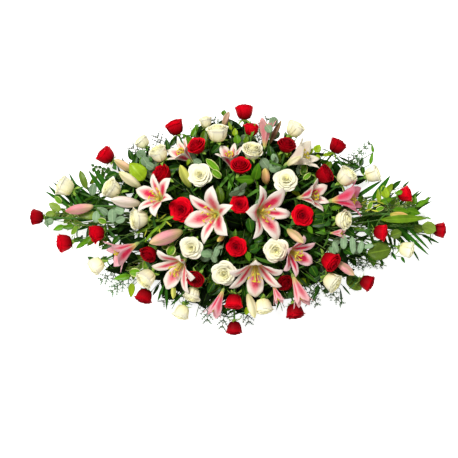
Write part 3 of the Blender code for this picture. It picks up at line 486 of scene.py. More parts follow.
# Outlines of leaves: share of the length, then share of the width there.
OUTLINES = {
    "palm": ((0, 0.08, 0.3, 0.6, 0.85, 1), (0.35, 0.8, 1, 0.86, 0.45, 0.04)),
    "lance": ((0, 0.15, 0.4, 0.7, 0.9, 1), (0.18, 0.72, 1, 0.74, 0.32, 0.03)),
    "oval": ((0, 0.06, 0.25, 0.5, 0.75, 0.92, 1), (0.10, 0.45, 0.90, 1, 0.84, 0.42, 0.05)),
    "round": ((0, 0.05, 0.2, 0.5, 0.8, 0.95, 1), (0.10, 0.48, 0.88, 1, 0.86, 0.50, 0.16)),
    "ovate": ((0, 0.06, 0.2, 0.42, 0.7, 0.9, 1), (0.10, 0.50, 0.90, 1, 0.72, 0.30, 0.03)),
}


def leaf(
    skin, root, tip, side, width, outline, slot, tint, seed, fold=0.22, bend=0.06, ruffle=0.0, size=(8, 5)
):
    """One leaf from root to tip, folded along its rib, arched along its length and waved at its edge."""
    rows, cols = size
    length = np.linalg.norm(tip - root)
    ahead = (tip - root) / length
    side = unit(side - ahead * np.dot(side, ahead))
    face = np.cross(side, ahead)
    if face[2] < 0:
        side, face = -side, -face
    share = np.linspace(0, 1, rows)[:, None]
    across = np.linspace(-1, 1, cols)[None, :]
    half = width / 2 * np.interp(share, *OUTLINES[outline])
    lift = fold * half * np.abs(across) + bend * length * 4 * share * (1 - share)
    lift = lift + ruffle * half * across**2 * np.sin(share * 15 + across * 2 + seed * 40)
    front = root + ahead * (share * length + 0 * across)[..., None]
    front = front + side * (across * half)[..., None] + face * lift[..., None]
    sheet(skin, front, slot, tint, seed)


# Materials


class Look:
    """A procedural material being made: short ways to add its nodes."""

    def __init__(self, name, roughness, **sockets):
        self.material = bpy.data.materials.new(name)
        self.material.use_nodes = True
        self.tree = self.material.node_tree
        self.shader = self.tree.nodes["Principled BSDF"]
        self.shader.inputs["Roughness"].default_value = roughness
        for key, value in sockets.items():
            self.shader.inputs[key.replace("_", " ").title().replace("Ior", "IOR")].default_value = value

    def node(self, kind, inputs, output=0, **settings):
        made = self.tree.nodes.new(kind)
        for key, value in settings.items():
            setattr(made, key, value)
        for key, value in inputs.items():
            if isinstance(value, bpy.types.NodeSocket):
                self.tree.links.new(value, made.inputs[key])
            else:
                made.inputs[key].default_value = value
        return made.outputs[output]

    def attribute(self, name, output):
        return self.node("ShaderNodeAttribute", {}, output, attribute_name=name)

    def tint(self):
        """Colour that each petal or leaf was given."""
        return self.attribute("tint", "Color")

    def math(self, operation, first, second=0.0, clamp=False):
        return self.node("ShaderNodeMath", {0: first, 1: second}, operation=operation, use_clamp=clamp)

    def grow(self):
        """Sockets of how far across and along a petal or leaf a point is."""
        vector = self.attribute("grow", "Vector")
        parts = self.tree.nodes.new("ShaderNodeSeparateXYZ")
        self.tree.links.new(vector, parts.inputs[0])
        return parts.outputs[0], parts.outputs[1]

    def scaled(self, vector, stretch):
        return self.node("ShaderNodeVectorMath", {0: vector, 1: stretch}, operation="MULTIPLY")

    def noise(self, scale, stretch=(1, 1, 1), detail=3.0, vector=None):
        """Grain in the piece's own space, or over the vector that is given."""
        if vector is None:
            vector = self.node("ShaderNodeTexCoord", {}, "Object")
        inputs = {"Vector": self.scaled(vector, stretch), "Scale": scale, "Detail": detail}
        return self.node("ShaderNodeTexNoise", inputs, "Fac")

    def streaks(self, scale, stretch, detail):
        """Grain that follows each petal, leaf or stem across and along."""
        return self.noise(scale, stretch, detail, self.attribute("grow", "Vector"))

    def ramp(self, value, stops):
        """Grey levels or colours between stops, picked by a value."""
        made = self.tree.nodes.new("ShaderNodeValToRGB")
        self.tree.links.new(value, made.inputs[0])
        points = made.color_ramp.elements
        while len(points) < len(stops):
            points.new(0.5)
        for point, (share, colour) in zip(points, stops):
            point.position = share
            point.color = (colour, colour, colour, 1) if isinstance(colour, (int, float)) else (*colour, 1)
        return made.outputs[0]

    def mix(self, amount, first, second, blend="MIX"):
        """Two colours, or one and a socket, blended by an amount."""
        made = self.tree.nodes.new("ShaderNodeMix")
        made.data_type, made.blend_type = "RGBA", blend
        for key, value in ((0, amount), (6, first), (7, second)):
            if isinstance(value, bpy.types.NodeSocket):
                self.tree.links.new(value, made.inputs[key])
            elif key == 0:
                made.inputs[key].default_value = value
            else:
                made.inputs[key].default_value = (*value, 1)
        return made.outputs[2]

    def times(self, first, second):
        return self.mix(1.0, first, second, "MULTIPLY")

    def link(self, socket, value):
        self.tree.links.new(value, self.shader.inputs[socket])

    def bump(self, height, strength, distance):
        inputs = {"Height": height, "Strength": strength, "Distance": distance}
        self.link("Normal", self.node("ShaderNodeBump", inputs, "Normal"))


def petal_look(name, roughness, foot, body, rim, vein):
    """Velvety rose petal: ramped from its foot through its body to its rim, finely veined, tinted petal by
    petal. For the red, the near-black foot is painted shade deep in the rose and the lighter rim a painted
    highlight; the white's cream-yellow foot is its own colour.
    """
    look = Look(name, roughness, specular_ior_level=0.05)
    _, along = look.grow()
    veins = look.streaks(6.0, (5.0, 0.9, 7.0), 2.0)
    # Foot to rim: on the red, painted shade at the foot and a painted highlight at the rim.
    colour = look.ramp(along, ((0.0, foot), (0.62, body), (0.90, body), (1.0, rim)))
    colour = look.times(colour, look.ramp(veins, ((0.30, vein), (0.70, 1.04))))
    look.link("Base Color", look.times(colour, look.tint()))
    look.bump(veins, 0.35, 0.0006)
    return look.material


# Raspberry of the blaze, of its spots and of the rib, and the green-yellow of the throat.
BLAZE = (0.68, 0.020, 0.075)
BLAZE_SPOT = (0.38, 0.004, 0.03)
BLAZE_RIB = (0.72, 0.10, 0.12)
THROAT = (0.66, 0.62, 0.10)


def lily_look():
    """Lily tepal: pale edges, a raspberry blaze up the middle with darker spots, a green-yellow throat."""
    look = Look("lily_petal", 0.5, specular_ior_level=0.10)
    across, along = look.grow()
    strength = look.attribute("tint", "Alpha")
    aside = look.math("ABSOLUTE", across)
    reach = look.ramp(along, ((0.08, 0.0), (0.20, 1.0), (0.56, 1.0), (0.86, 0.0)))
    width = look.ramp(along, ((0.0, 1.0), (0.50, 0.92), (0.90, 0.20)))
    inner = look.math("DIVIDE", aside, width)
    band = look.ramp(inner, ((0.0, 1.0), (0.34, 0.86), (0.68, 0.40), (1.0, 0.0)))
    mottle = look.ramp(look.streaks(5.0, (1.5, 2.5, 3.0), 4.0), ((0.2, 0.90), (0.8, 1.25)))
    blaze = look.math("MULTIPLY", look.math("MULTIPLY", reach, band), mottle)
    blaze = look.math("MULTIPLY", blaze, strength, clamp=True)
    colour = look.mix(blaze, look.tint(), BLAZE)
    cells = {"Vector": look.scaled(look.attribute("grow", "Vector"), (7, 16, 3)), "Scale": 1.0}
    spots = look.node("ShaderNodeTexVoronoi", cells, "Distance")
    spotted = look.math("MULTIPLY", look.ramp(spots, ((0.16, 1.0), (0.24, 0.0))), blaze)
    colour = look.mix(look.math("MULTIPLY", spotted, 0.6), colour, BLAZE_SPOT)
    throat = look.ramp(along, ((0.08, 1.0), (0.30, 0.0)))
    colour = look.mix(look.math("MULTIPLY", throat, 0.8), colour, THROAT)
    rib = look.ramp(aside, ((0.0, 0.30), (0.06, 0.0)))
    colour = look.mix(look.math("MULTIPLY", rib, strength), colour, BLAZE_RIB)
    look.link("Base Color", colour)
    look.bump(look.streaks(4.0, (9.0, 0.5, 3.0), 2.0), 0.4, 0.0008)
    return look.material


def bud_look():
    """Waxy bud skin, coloured along its length and finely ribbed."""
    look = Look("lily_bud", 0.42, specular_ior_level=0.20)
    ribs = look.streaks(3.0, (9.0, 0.7, 5.0), 3.0)
    look.link("Base Color", look.times(look.tint(), look.ramp(ribs, ((0.3, 0.80), (0.7, 1.12)))))
    look.bump(ribs, 0.4, 0.0008)
    return look.material


def leaf_look(name, roughness, rib, veins=0.25, coat=0.0, margin=None):
    """Leaf blade: tinted, with a paler rib and side veins, mottled, and margined in cream where asked."""
    look = Look(name, roughness, specular_ior_level=0.04, coat_weight=coat, coat_roughness=0.22)
    across, along = look.grow()
    aside = look.math("ABSOLUTE", across)
    slant = look.math("SUBTRACT", look.math("MULTIPLY", along, 13.0), look.math("MULTIPLY", aside, 3.5))
    stripe = look.math("ABSOLUTE", look.math("SINE", look.math("MULTIPLY", slant, 3.1416)))
    lines = look.ramp(stripe, ((0.0, 1.0), (0.28, 0.0)))
    mottle = look.noise(45.0, (1, 1, 1), 4.0)
    colour = look.times(look.tint(), look.ramp(mottle, ((0.3, 0.72), (0.75, 1.25))))
    pale = look.mix(1.0, colour, rib, "SCREEN")
    colour = look.mix(look.math("MULTIPLY", lines, veins), colour, pale)
    colour = look.mix(look.ramp(aside, ((0.03, 0.85), (0.10, 0.0))), colour, pale)
    if margin:
        waves = look.math("MULTIPLY", look.streaks(4.0, (2, 5, 9), 2.0), 0.35)
        wander = look.math("ADD", aside, waves)
        colour = look.mix(look.ramp(wander, ((0.90, 0.0), (0.99, 1.0))), colour, margin)
    look.link("Base Color", colour)
    look.bump(look.math("ADD", look.math("MULTIPLY", lines, -0.6), mottle), 0.35, 0.0008)
    return look.material


def plain_look(name, roughness, low, high, scale, strength, depth):
    """Grained matter between two colours: plastic, foam, tape, stems and stamens."""
    look = Look(name, roughness)
    grain = look.noise(scale, (1, 1, 1), 5.0)
    look.link("Base Color", look.ramp(grain, ((0.30, low), (0.70, high))))
    look.bump(grain, strength, depth)
    return look.material


def stem_look():
    """Green stem skin, tinted, with fine streaks."""
    look = Look("stem", 0.5, specular_ior_level=0.08)
    streaks = look.streaks(7.0, (3.0, 30.0, 1.0), 3.0)
    look.link("Base Color", look.times(look.tint(), look.ramp(streaks, ((0.3, 0.75), (0.7, 1.2)))))
    look.bump(streaks, 0.3, 0.0006)
    return look.material


# Stems read from the solids


def welded(node):
    """The distinct points of a solid, and for each of them the points that an edge joins it to."""
    data = node.data
    raw = np.empty(len(data.vertices) * 3, np.float32)
    data.vertices.foreach_get("co", raw)
    keys = np.round(raw.reshape(-1, 3).astype(float) * 1e5).astype(np.int64)
    distinct, which = np.unique(keys, axis=0, return_inverse=True)
    which = which.ravel()
    pairs = np.empty(len(data.edges) * 2, np.int32)
    data.edges.foreach_get("vertices", pairs)
    links = [set() for _ in distinct]
    for a, b in which[pairs].reshape(-1, 2):
        if a != b:
            links[a].add(int(b))
            links[b].add(int(a))
    return distinct / 1e5, links


def root_index(points):
    """The point of a solid that stands deepest in the foam."""
    inside = (np.abs(points[:, 0]) < FOAM_HALF[0]) & (np.abs(points[:, 1]) < FOAM_HALF[1] - 0.0005)
    inside &= points[:, 2] < FOAM_TOP - 0.001
    spots = np.nonzero(inside)[0]
    far = np.linalg.norm(points[spots] - points.mean(axis=0), axis=1)
    return int(spots[np.argmax(far)])


def way_between(points, links, start, goal):
    """Shortest way along the solid's edges from one point to another."""
    best, before, queue = {start: 0.0}, {}, [(0.0, start)]
    while queue:
        cost, here = heapq.heappop(queue)
        if here == goal:
            break
        if cost > best[here]:
            continue
        for there in links[here]:
            total = cost + float(np.linalg.norm(points[here] - points[there]))
            if total < best.get(there, math.inf):
                best[there], before[there] = total, here
                heapq.heappush(queue, (total, there))
    way = [goal]
    while way[-1] != start:
        way.append(before[way[-1]])
    return way[::-1]


def centred(points, links, way, reach):
    """The middles of the rings of points that a way along a stem passes."""
    middles = []
    for index in way:
        ring = [index] + [k for k in links[index] if np.linalg.norm(points[k] - points[index]) < reach]
        middle = points[ring].mean(axis=0)
        if not middles or np.linalg.norm(middle - middles[-1]) > reach * 0.7:
            middles.append(middle)
    return middles


def stem_of(points, links, root, goal, reach):
    """Polyline along the middle of a stem, from its root in the foam to the point nearest to goal."""
    end = int(np.argmin(np.linalg.norm(points - goal, axis=1)))
    return centred(points, links, way_between(points, links, root, end), reach)


def blades_of(points, links, thin):
    """Leaves of a solid: (tip, middle of the ring below it, vector across) where the ring is thin."""
    found = []
    for index, near in enumerate(links):
        if len(near) != 4:
            continue
        gaps = sorted((np.linalg.norm(points[a] - points[b]), a, b) for a, b in combinations(sorted(near), 2))
        (_, a, b), (second_gap, c, d) = gaps[:2]
        if {a, b} & {c, d} or second_gap > thin:
            continue
        ways = points[[a, b, c, d]] - points[index]
        ways = ways / np.linalg.norm(ways, axis=1, keepdims=True)
        if (ways @ unit(ways.mean(axis=0))).min() < 0.30:
            continue
        first, second = (points[a] + points[b]) / 2, (points[c] + points[d]) / 2
        found.append((points[index], (first + second) / 2, second - first))
    return found


# Roses


# Layers of petals from the outside in: number, radius and height of the crest in shares of the rose's
# width, half the angle that a petal covers, how far its rim rolls out past the crest, and how upright
# it stands.
ROSE_LAYERS = {
    "open": (
        (5, 0.380, 0.030, 50, 0.125, 0.60),
        (5, 0.325, 0.115, 50, 0.105, 0.62),
        (4, 0.252, 0.178, 60, 0.080, 0.66),
        (4, 0.190, 0.222, 62, 0.060, 0.70),
        (3, 0.138, 0.250, 80, 0.044, 0.76),
        (3, 0.094, 0.267, 84, 0.034, 0.80),
        (2, 0.056, 0.276, 120, 0.026, 0.85),
        (1, 0.024, 0.278, 170, 0.014, 0.90),
    ),
    "cup": (
        (5, 0.430, 0.130, 54, 0.110, 0.94),
        (5, 0.385, 0.235, 56, 0.085, 0.96),
        (4, 0.312, 0.292, 60, 0.070, 0.92),
        (4, 0.240, 0.325, 66, 0.055, 0.88),
        (3, 0.172, 0.344, 78, 0.042, 0.85),
        (3, 0.112, 0.352, 90, 0.032, 0.87),
        (2, 0.062, 0.354, 120, 0.022, 0.90),
        (1, 0.026, 0.354, 170, 0.012, 0.92),
    ),
    "goblet": (
        (3, 0.440, 0.330, 66, 0.105, 1.02),
        (4, 0.414, 0.370, 60, 0.070, 1.04),
        (4, 0.340, 0.400, 62, 0.058, 1.02),
        (3, 0.258, 0.424, 76, 0.046, 0.98),
        (3, 0.184, 0.436, 80, 0.036, 0.94),
        (3, 0.118, 0.440, 90, 0.026, 0.92),
        (2, 0.062, 0.440, 120, 0.016, 0.90),
    ),
}
# The least lean of a half-over rose, and of a goblet on the rim.
LEAN_CUP = 30
LEAN_GOBLET = 63
# How far a rose's petals belly out near their foot, and how deep.
ROSE_BELLIES = {"open": (0.90, -0.42), "cup": (1.00, -0.41), "goblet": (1.05, -0.42)}
# What a rose's petals are tinted by, at its rim and at its heart. The red's darker heart is painted shade
# between its inner petals; the white's heart is its own cream-yellow, lifted a touch as painted light.
ROSE_TINTS = {
    "red": ((1.04, 1.0, 1.0), (0.50, 0.5, 0.6)),
    "white": ((1.0, 1.0, 1.0), (1.02, 1.00, 0.66)),
}
# How much more or less the inner petals of an open rose roll out.
ROSE_ROLLS = {"red": 0.85, "white": 1.55}
# Photo x and y of the red roses that lie in deeper shade, and what they are tinted by: painted shade over
# their whole red.
SHADED_ROSES = (
    (286, 146), (322, 176), (336, 147), (284, 282), (366, 282), (439, 230), (234, 327), (294, 310),
    (196, 278), (145, 295), (38, 217), (150, 254),
)
SHADED_ROSE_TINT = 0.58
# Where the rows of points on a rose petal lie along it, closer together towards its rolled rim.
PETAL_SHARES = np.array([0.0, 0.25, 0.46, 0.62, 0.74, 0.84, 0.92, 0.97, 1.0])
PETAL_COLS = 9


def petal_grid(belly, radius, height, half_angle, curl, upright, phase, chance):
    """Front of one rose petal about the rose's axis, in shares of the rose's width."""
    across = np.linspace(-1, 1, PETAL_COLS)[None, :]
    share = PETAL_SHARES[:, None]
    reach = share * (1 - 0.08 * np.abs(across) ** 3)
    low = (radius * belly[0], belly[1])
    line = bezier(reach, ((0.055, -0.40), low, (radius * upright, height - 0.13), (radius, height)))
    out, up = line[..., 0], line[..., 1]
    roll = np.clip((reach - 0.58) / 0.42, 0, 1)
    aside = np.abs(across) ** 1.5
    out = out + curl * roll**2 * (1.12 - 0.50 * aside)
    up = up - curl * 0.85 * roll**3 * (0.70 + 0.75 * aside)
    sway = chance.uniform(0, math.tau)
    out = out * (1 + 0.050 * across) + 0.012 * roll * np.sin(across * 4 + sway)
    up = up + 0.014 * roll * np.sin(across * 5 + sway * 2)
    spread = math.radians(half_angle) * (0.40 + 0.60 * np.sin(np.minimum(1.0, reach * 1.5) * math.pi / 2))
    angle = phase + across * spread
    return np.stack([out * np.cos(angle), out * np.sin(angle), up], axis=-1)


def sepals(skin, bloom, turn, chance):
    """The green calyx under a rose, and its five sepals."""
    calyx = bloom.at([(0, 0, -0.50), (0, 0, -0.44), (0, 0, -0.39), (0, 0, -0.35)])
    radii = np.array([0.06, 0.12, 0.13, 0.07]) * bloom.size
    tube(skin, calyx, radii, 1, STEM_GREENS["calyx"], 8)
    width = bloom.size * 0.19
    for k in range(5):
        angle = turn + math.tau * k / 5
        ahead = np.array([math.cos(angle), math.sin(angle), 0.0])
        root = bloom.at(ahead * 0.06 + (0, 0, -0.41))
        drop = chance.uniform(-0.68, -0.30)
        tip = bloom.at(ahead * chance.uniform(0.36, 0.54) + (0, 0, drop))
        side = np.array([-math.sin(angle), math.cos(angle), 0.0]) @ bloom.frame
        green, seed = STEM_GREENS["sepal"], chance.random()
        leaf(skin, root, tip, side, width, "lance", 1, green, seed, 0.3, 0.10, 0.0, (5, 3))


def rose(skin, bloom, rim, heart, inner_roll, chance):
    """Spiral of curled petals over their calyx. The inner ones of an open rose roll more or less."""
    form = "open" if bloom.lean < LEAN_CUP else "cup" if bloom.lean < LEAN_GOBLET else "goblet"
    layers = ROSE_LAYERS[form]
    rim, heart = np.asarray(rim), np.asarray(heart)
    turn = chance.uniform(0, math.tau)
    for number, (count, radius, height, half_angle, curl, upright) in enumerate(layers):
        outer = number < 2
        uneven = 1.0 if outer and form != "goblet" else 0.4
        roll = 1.0 if outer or form != "open" else inner_roll
        inward = (number / (len(layers) - 1)) ** 1.3
        turn += math.pi / count + chance.uniform(-0.25, 0.25)
        for k in range(count):
            phase = turn + math.tau * k / count + chance.uniform(-0.12, 0.12)
            grid = petal_grid(
                ROSE_BELLIES[form],
                radius * chance.uniform(0.94, 1.04),
                height + chance.uniform(-0.055, 0.030) * uneven,
                half_angle * chance.uniform(0.92, 1.08),
                curl * chance.uniform(0.55, 1.15) * roll,
                upright,
                phase,
                chance,
            )
            # Towards the heart the tint blends to the heart's: painted shade on a red rose's inner petals,
            # cream-yellow on a white one's.
            tint = (rim * (1 - inward) + heart * inward) * chance.uniform(0.86, 1.08)
            sheet(skin, bloom.at(grid), 0, tint, chance.random(), PETAL_THICK)
    sepals(skin, bloom, turn, chance)


# Lilies


# Controls of a tepal's line as (reach, height) in shares of its length, by kind of flower, and its
# width at some stations along it.
TEPAL_LINES = {
    "open": ((0.05, -0.34), (0.24, -0.16), (0.58, 0.44), (0.98, 0.23)),
    "cup": ((0.05, -0.36), (0.22, -0.12), (0.60, 0.46), (0.90, 0.36)),
    "flare": ((0.04, -0.46), (0.15, -0.04), (0.34, 0.50), (0.66, 0.64)),
    "half": ((0.04, -0.46), (0.13, -0.02), (0.24, 0.58), (0.40, 0.77)),
}
TEPAL_STATIONS = (0, 0.12, 0.30, 0.52, 0.72, 0.88, 1)
TEPAL_WIDTHS = {
    "open": (0.10, 0.22, 0.44, 0.57, 0.49, 0.28, 0.015),
    "cup": (0.10, 0.20, 0.40, 0.52, 0.46, 0.26, 0.015),
    "flare": (0.07, 0.15, 0.32, 0.48, 0.49, 0.30, 0.012),
    "half": (0.07, 0.12, 0.22, 0.35, 0.36, 0.22, 0.012),
}
# Rows and columns of points on a tepal.
TEPAL_SIZE = (16, 11)
# How far out and up the anthers stand.
STAMEN_REACH = {"open": (0.26, 0.16), "cup": (0.20, 0.26), "flare": (0.17, 0.38), "half": (0.13, 0.42)}


def tepal(skin, bloom, number, tint, chance):
    """One tepal, ribbed down its middle, with waved edges. Every other one is narrow and set back."""
    narrow = number % 2
    rows, cols = TEPAL_SIZE
    share = np.linspace(0, 1, rows)[:, None]
    across = np.linspace(-1, 1, cols)[None, :]
    line = bezier(share + 0 * across, TEPAL_LINES[bloom.kind])
    width = np.interp(share, TEPAL_STATIONS, TEPAL_WIDTHS[bloom.kind]) * (0.66 if narrow else 1.0)
    sway = chance.uniform(0, math.tau)
    ruffle = (0.004 if narrow else 0.016) * np.abs(across) ** 2 * np.sin(share * 17 + sway + across)
    cup = (0.55 - share) * 0.34 * width * across**2
    rib = -0.012 * np.exp(-((across / 0.16) ** 2)) * np.sin(share * math.pi)
    recurve = -0.10 * chance.uniform(0.2, 1.2) * np.clip(share - 0.75, 0, 1) ** 1.5 * 4
    up = line[..., 1] + ruffle + cup + rib + recurve - (0.035 if narrow else 0.0) * np.minimum(1, share * 3)
    angle = math.radians(60 * (number + 1)) + chance.uniform(-0.04, 0.04)
    twist = across * width / 2
    out = line[..., 0]
    x = out * math.cos(angle) - twist * math.sin(angle)
    y = out * math.sin(angle) + twist * math.cos(angle)
    grid = bloom.at(np.stack([x, y, up], axis=-1))
    sheet(skin, grid, 0, tint, chance.random(), PETAL_THICK, 1.5 if narrow else 1.0)


# Colours of a lily's filaments, anthers, pistil and the pistil's head.
FILAMENT_GREEN = (0.62, 0.66, 0.20)
ANTHER_GOLD = (0.72, 0.50, 0.04)
PISTIL_GREEN = (0.55, 0.62, 0.16)
PISTIL_HEAD = (0.42, 0.34, 0.10)
# Half the length of an anther, and its radius at the middle.
ANTHER_HALF = 0.0070
ANTHER_RADIUS = 0.0021


def stamens(skin, bloom, chance):
    """Six curved filaments with their anthers, and a pistil with a three-lobed head."""
    reach, top = STAMEN_REACH[bloom.kind]
    foot = -0.32 if bloom.wide else -0.40
    along = np.linspace(-1, 1, 6)[:, None]
    swell = np.sqrt(1.02 - along[:, 0] ** 2)
    for k in range(6):
        angle = math.radians(60 * k + 30) + chance.uniform(-0.15, 0.15)
        ahead = np.array([math.cos(angle), math.sin(angle), 0.0])
        far = reach * chance.uniform(0.85, 1.12)
        controls = ((0.03, foot), (0.06, -0.05), (far * 0.6, top), (far, top + 0.02))
        line = bezier(np.linspace(0, 1, 9), controls)
        path = bloom.at(line[:, :1] * ahead + line[:, 1:] * (0, 0, 1))
        tube(skin, path, np.linspace(0.0015, 0.0010, 9), 2, FILAMENT_GREEN, 5)
        cross = np.array([-ahead[1], ahead[0], 0.25])
        cross = unit(cross + ahead * chance.uniform(-0.8, 0.8)) @ bloom.frame
        tube(skin, path[-1] + cross * along * ANTHER_HALF, ANTHER_RADIUS * swell, 3, ANTHER_GOLD, 6)
    lean = chance.uniform(-0.04, 0.04)
    controls = ((0, 0, foot), (0, 0, 0), (lean, lean, top), (lean * 2, 0.03, top + 0.10))
    pistil = bezier(np.linspace(0, 1, 8), controls)
    tube(skin, bloom.at(pistil), 0.0020, 2, PISTIL_GREEN, 6)
    head = bloom.at(pistil[-1])
    for k in range(3):
        angle = math.tau * k / 3
        lobe = np.array([math.cos(angle), math.sin(angle), 0.0]) @ bloom.frame * 0.0022
        path = [head - bloom.axis * 0.001, head + lobe, head + lobe + bloom.axis * 0.0022]
        tube(skin, path, (0.0016, 0.0023, 0.0012), 3, PISTIL_HEAD, 6)


def lily(skin, bloom, chance):
    """Six tepals round their stamens, the narrow ones first, and the green cone that joins the stem."""
    edge, strength = LILY_LOOKS[bloom.look]
    for number in (1, 3, 5, 0, 2, 4):
        tone = chance.uniform(0.94, 1.04)
        tint = (*(np.asarray(edge) * tone), strength * chance.uniform(0.8, 1.1))
        tepal(skin, bloom, number, tint, chance)
    stamens(skin, bloom, chance)
    neck = NECK_WIDE if bloom.wide else NECK_SLIM
    cone = bloom.at([(0, 0, neck + rise) for rise in (-0.04, 0.0, 0.06, 0.12)])
    tube(skin, cone, np.array([0.035, 0.050, 0.075, 0.080]) * bloom.size, 1, STEM_GREENS["cone"], 10)


# A bud's radius at some heights, all in shares of its length.
BUD_PROFILE = (
    (-0.50, -0.42, -0.28, -0.10, 0.08, 0.24, 0.38, 0.46, 0.50),
    (0.045, 0.085, 0.130, 0.160, 0.165, 0.140, 0.090, 0.045, 0.012),
)
BUD_RINGS = 13
BUD_SIDES = 18


def bud(skin, bloom, chance):
    """A closed lily bud: three blunt keels with grooves between, coloured from its foot to its tip."""
    *colours, stout = BUD_LOOKS[bloom.look]
    foot, body, tip = [np.asarray(colour) * chance.uniform(0.92, 1.06) for colour in colours]
    heights = np.linspace(-0.50, 0.50, BUD_RINGS)
    radii = np.interp(heights, *BUD_PROFILE) * stout
    angles = np.arange(BUD_SIDES) * math.tau / BUD_SIDES
    keel = 1 + 0.10 * np.cos(3 * angles) + 0.035 * np.cos(6 * angles + math.pi)
    swell = np.sin((heights + 0.5) * math.pi)[:, None]
    radius = radii[:, None] * (1 + (keel[None, :] - 1) * swell)
    x, y = radius * np.cos(angles), radius * np.sin(angles)
    points = np.stack([x, y, heights[:, None] + 0 * x], axis=-1)
    ends = [(0, 0, heights[0]), (0, 0, heights[-1])]
    share = (heights + 0.5)[:, None, None]
    groove = np.clip(0.5 - 0.5 * np.cos(3 * angles), 0, 1)[None, :, None] ** 2
    low_share = np.clip(share / 0.45, 0, 1)
    high_share = np.clip((share - 0.62) / 0.38, 0, 1) ** 1.3
    tint = foot * (1 - low_share) + (body * (1 - high_share) + tip * high_share) * low_share
    tint = tint * (1 - 0.62 * groove) + foot * 0.55 * groove * 0.62
    around = np.abs(np.linspace(-1, 1, BUD_SIDES))
    around, along = np.broadcast_to(around, x.shape), share[..., 0] + 0 * x
    grow = np.stack([around, along, 0 * x + chance.random()], axis=-1)
    skin.add(
        np.concatenate([bloom.at(points.reshape(-1, 3)), bloom.at(ends)]),
        np.concatenate([grow.reshape(-1, 3), [[0, 0, 0], [0, 1, 0]]]),
        np.concatenate([tint.reshape(-1, 3), [foot, tip]]),
        ring_faces(BUD_RINGS, BUD_SIDES),
        4,
    )


# Bloom nodes


def bloom_stems(skin, node, blooms, chance):
    """The stems of a node's blooms, along the ways that its solid takes."""
    points, links = welded(node)
    root = root_index(points)
    for bloom in blooms:
        neck = bloom.neck()
        path = stem_of(points, links, root, neck, BLOOM_RING)
        path = rounded([*path[:-1], neck - bloom.axis * 0.004, neck + bloom.axis * 0.004])
        tube(skin, path, STEM_RADIUS, 1, STEM_GREENS["bloom"], 8, chance.random())


# Leaves under a head, for a lily and for a rose: number, shortest and longest, width to length,
# outline and colour.
HEAD_LEAVES = {
    "lily": (3, 0.050, 0.080, 0.20, "lance", (0.10, 0.26, 0.03)),
    "rose": (2, 0.036, 0.050, 0.52, "ovate", (0.05, 0.16, 0.025)),
}


def stem_leaves(skin, bloom, chance, heads):
    """A few leaves under a head: long narrow ones under a lily, and a rose's own leaflets."""
    kind = "rose" if bloom.kind == "rose" else "lily"
    count, short, long, ratio, outline, green = HEAD_LEAVES[kind]
    for _ in range(count):
        angle = chance.uniform(0, math.tau)
        ahead = np.array([math.cos(angle), math.sin(angle), chance.uniform(-0.4, 0.1)]) @ bloom.frame
        root = bloom.neck() - bloom.axis * chance.uniform(0.004, 0.020)
        length = chance.uniform(short, long)
        tip = root + unit(ahead) * length
        width = length * ratio
        side = np.cross(ahead, bloom.axis)
        if tip[2] < FLOOR_CLEAR or heads.meets_leaf(root, tip, side, width, bloom):
            continue
        if heads.covers_head(root, tip):
            continue
        tint = np.array(green) * chance.uniform(0.7, 1.3)
        leaf(skin, root, tip, side, width, outline, 1, tint, chance.random(), 0.25, 0.08)


class Heads:
    """The room that the flower heads take up, for keeping leaves out of them."""

    def __init__(self, blooms):
        self.blooms = blooms
        self.shown = []
        self.middles = np.array([bloom.middle for bloom in blooms])
        self.axes = np.array([bloom.axis for bloom in blooms])
        self.sizes = np.array([bloom.size for bloom in blooms])
        self.kinds = np.array([bloom.kind for bloom in blooms])

    def inside(self, points, margin=0.003):
        """Which of the blooms (columns) each point (rows) lies in, by the room of each kind of head."""
        away = np.asarray(points)[:, None, :] - self.middles[None]
        high = (away * self.axes[None]).sum(axis=-1)
        wide = np.linalg.norm(away - high[..., None] * self.axes[None], axis=-1)
        high, wide = high / self.sizes, np.maximum(0, wide - margin) / self.sizes
        throat = (wide < 0.10 + 0.30 * np.clip(high + 0.45, 0, 1)) & (high > -0.46) & (high < 0.10)
        flat = (wide < 1.0) & (high > -0.14) & (high < 0.26)
        rising = (wide < 0.95) & (high > wide * 0.50 - 0.20) & (high < 0.48)
        rooms = {
            "rose": (high > -0.44) & (high < 0.46) & (wide < 0.50),
            "bud": (np.abs(high) < 0.52) & (wide < 0.18),
            "open": throat | flat,
            "cup": throat | rising,
            "half": (high > -0.52) & (high < 0.82) & (wide < 0.12 + 0.27 * (high + 0.5)),
            "flare": (high > -0.52) & (high < 0.72) & (wide < 0.12 + 0.47 * (high + 0.5)),
        }
        return np.any([(self.kinds == kind) & room for kind, room in rooms.items()], axis=0)

    def meets_leaf(self, root, tip, side, width, own=None):
        """Whether a leaf would lie in a head, other than the bloom's own."""
        side = unit(side) * width / 2
        middle = (root + tip) / 2
        spots = [root * 0.7 + tip * 0.3, middle, root * 0.25 + tip * 0.75, tip, middle + side, middle - side]
        hits = self.inside(spots)
        if own is not None:
            hits = hits[:, [bloom is not own for bloom in self.blooms]]
        return bool(hits.any())

    def covers_head(self, root, tip):
        """Whether a leaf lies over a flower head and would hide it from above."""
        for spot in ((root + tip) / 2, tip):
            away = np.linalg.norm((self.middles - spot)[:, :2], axis=1)
            if ((away < 0.42 * self.sizes) & (self.middles[:, 2] < spot[2])).any():
                return True
        return False

    def hides_shown(self, root, tip):
        """Whether a leaf would cover one of the leaves that are meant to be seen."""
        shown = np.array(self.shown)
        for spot in (root * 0.5 + tip * 0.5, tip):
            away = spot - shown
            near = np.linalg.norm(away[:, :2], axis=1) < SHOWN_REACH
            if (near & (away[:, 2] > -SHOWN_REACH)).any():
                return True
        return False

    def over(self, point):
        """Whether a head hides a point of the plan from above."""
        away = np.linalg.norm((self.middles - point)[:, :2], axis=1)
        reach = np.where(self.kinds == "rose", 0.46, np.where(self.kinds == "open", 0.55, 0.35))
        return bool((away < reach * self.sizes).any())


# Greenery


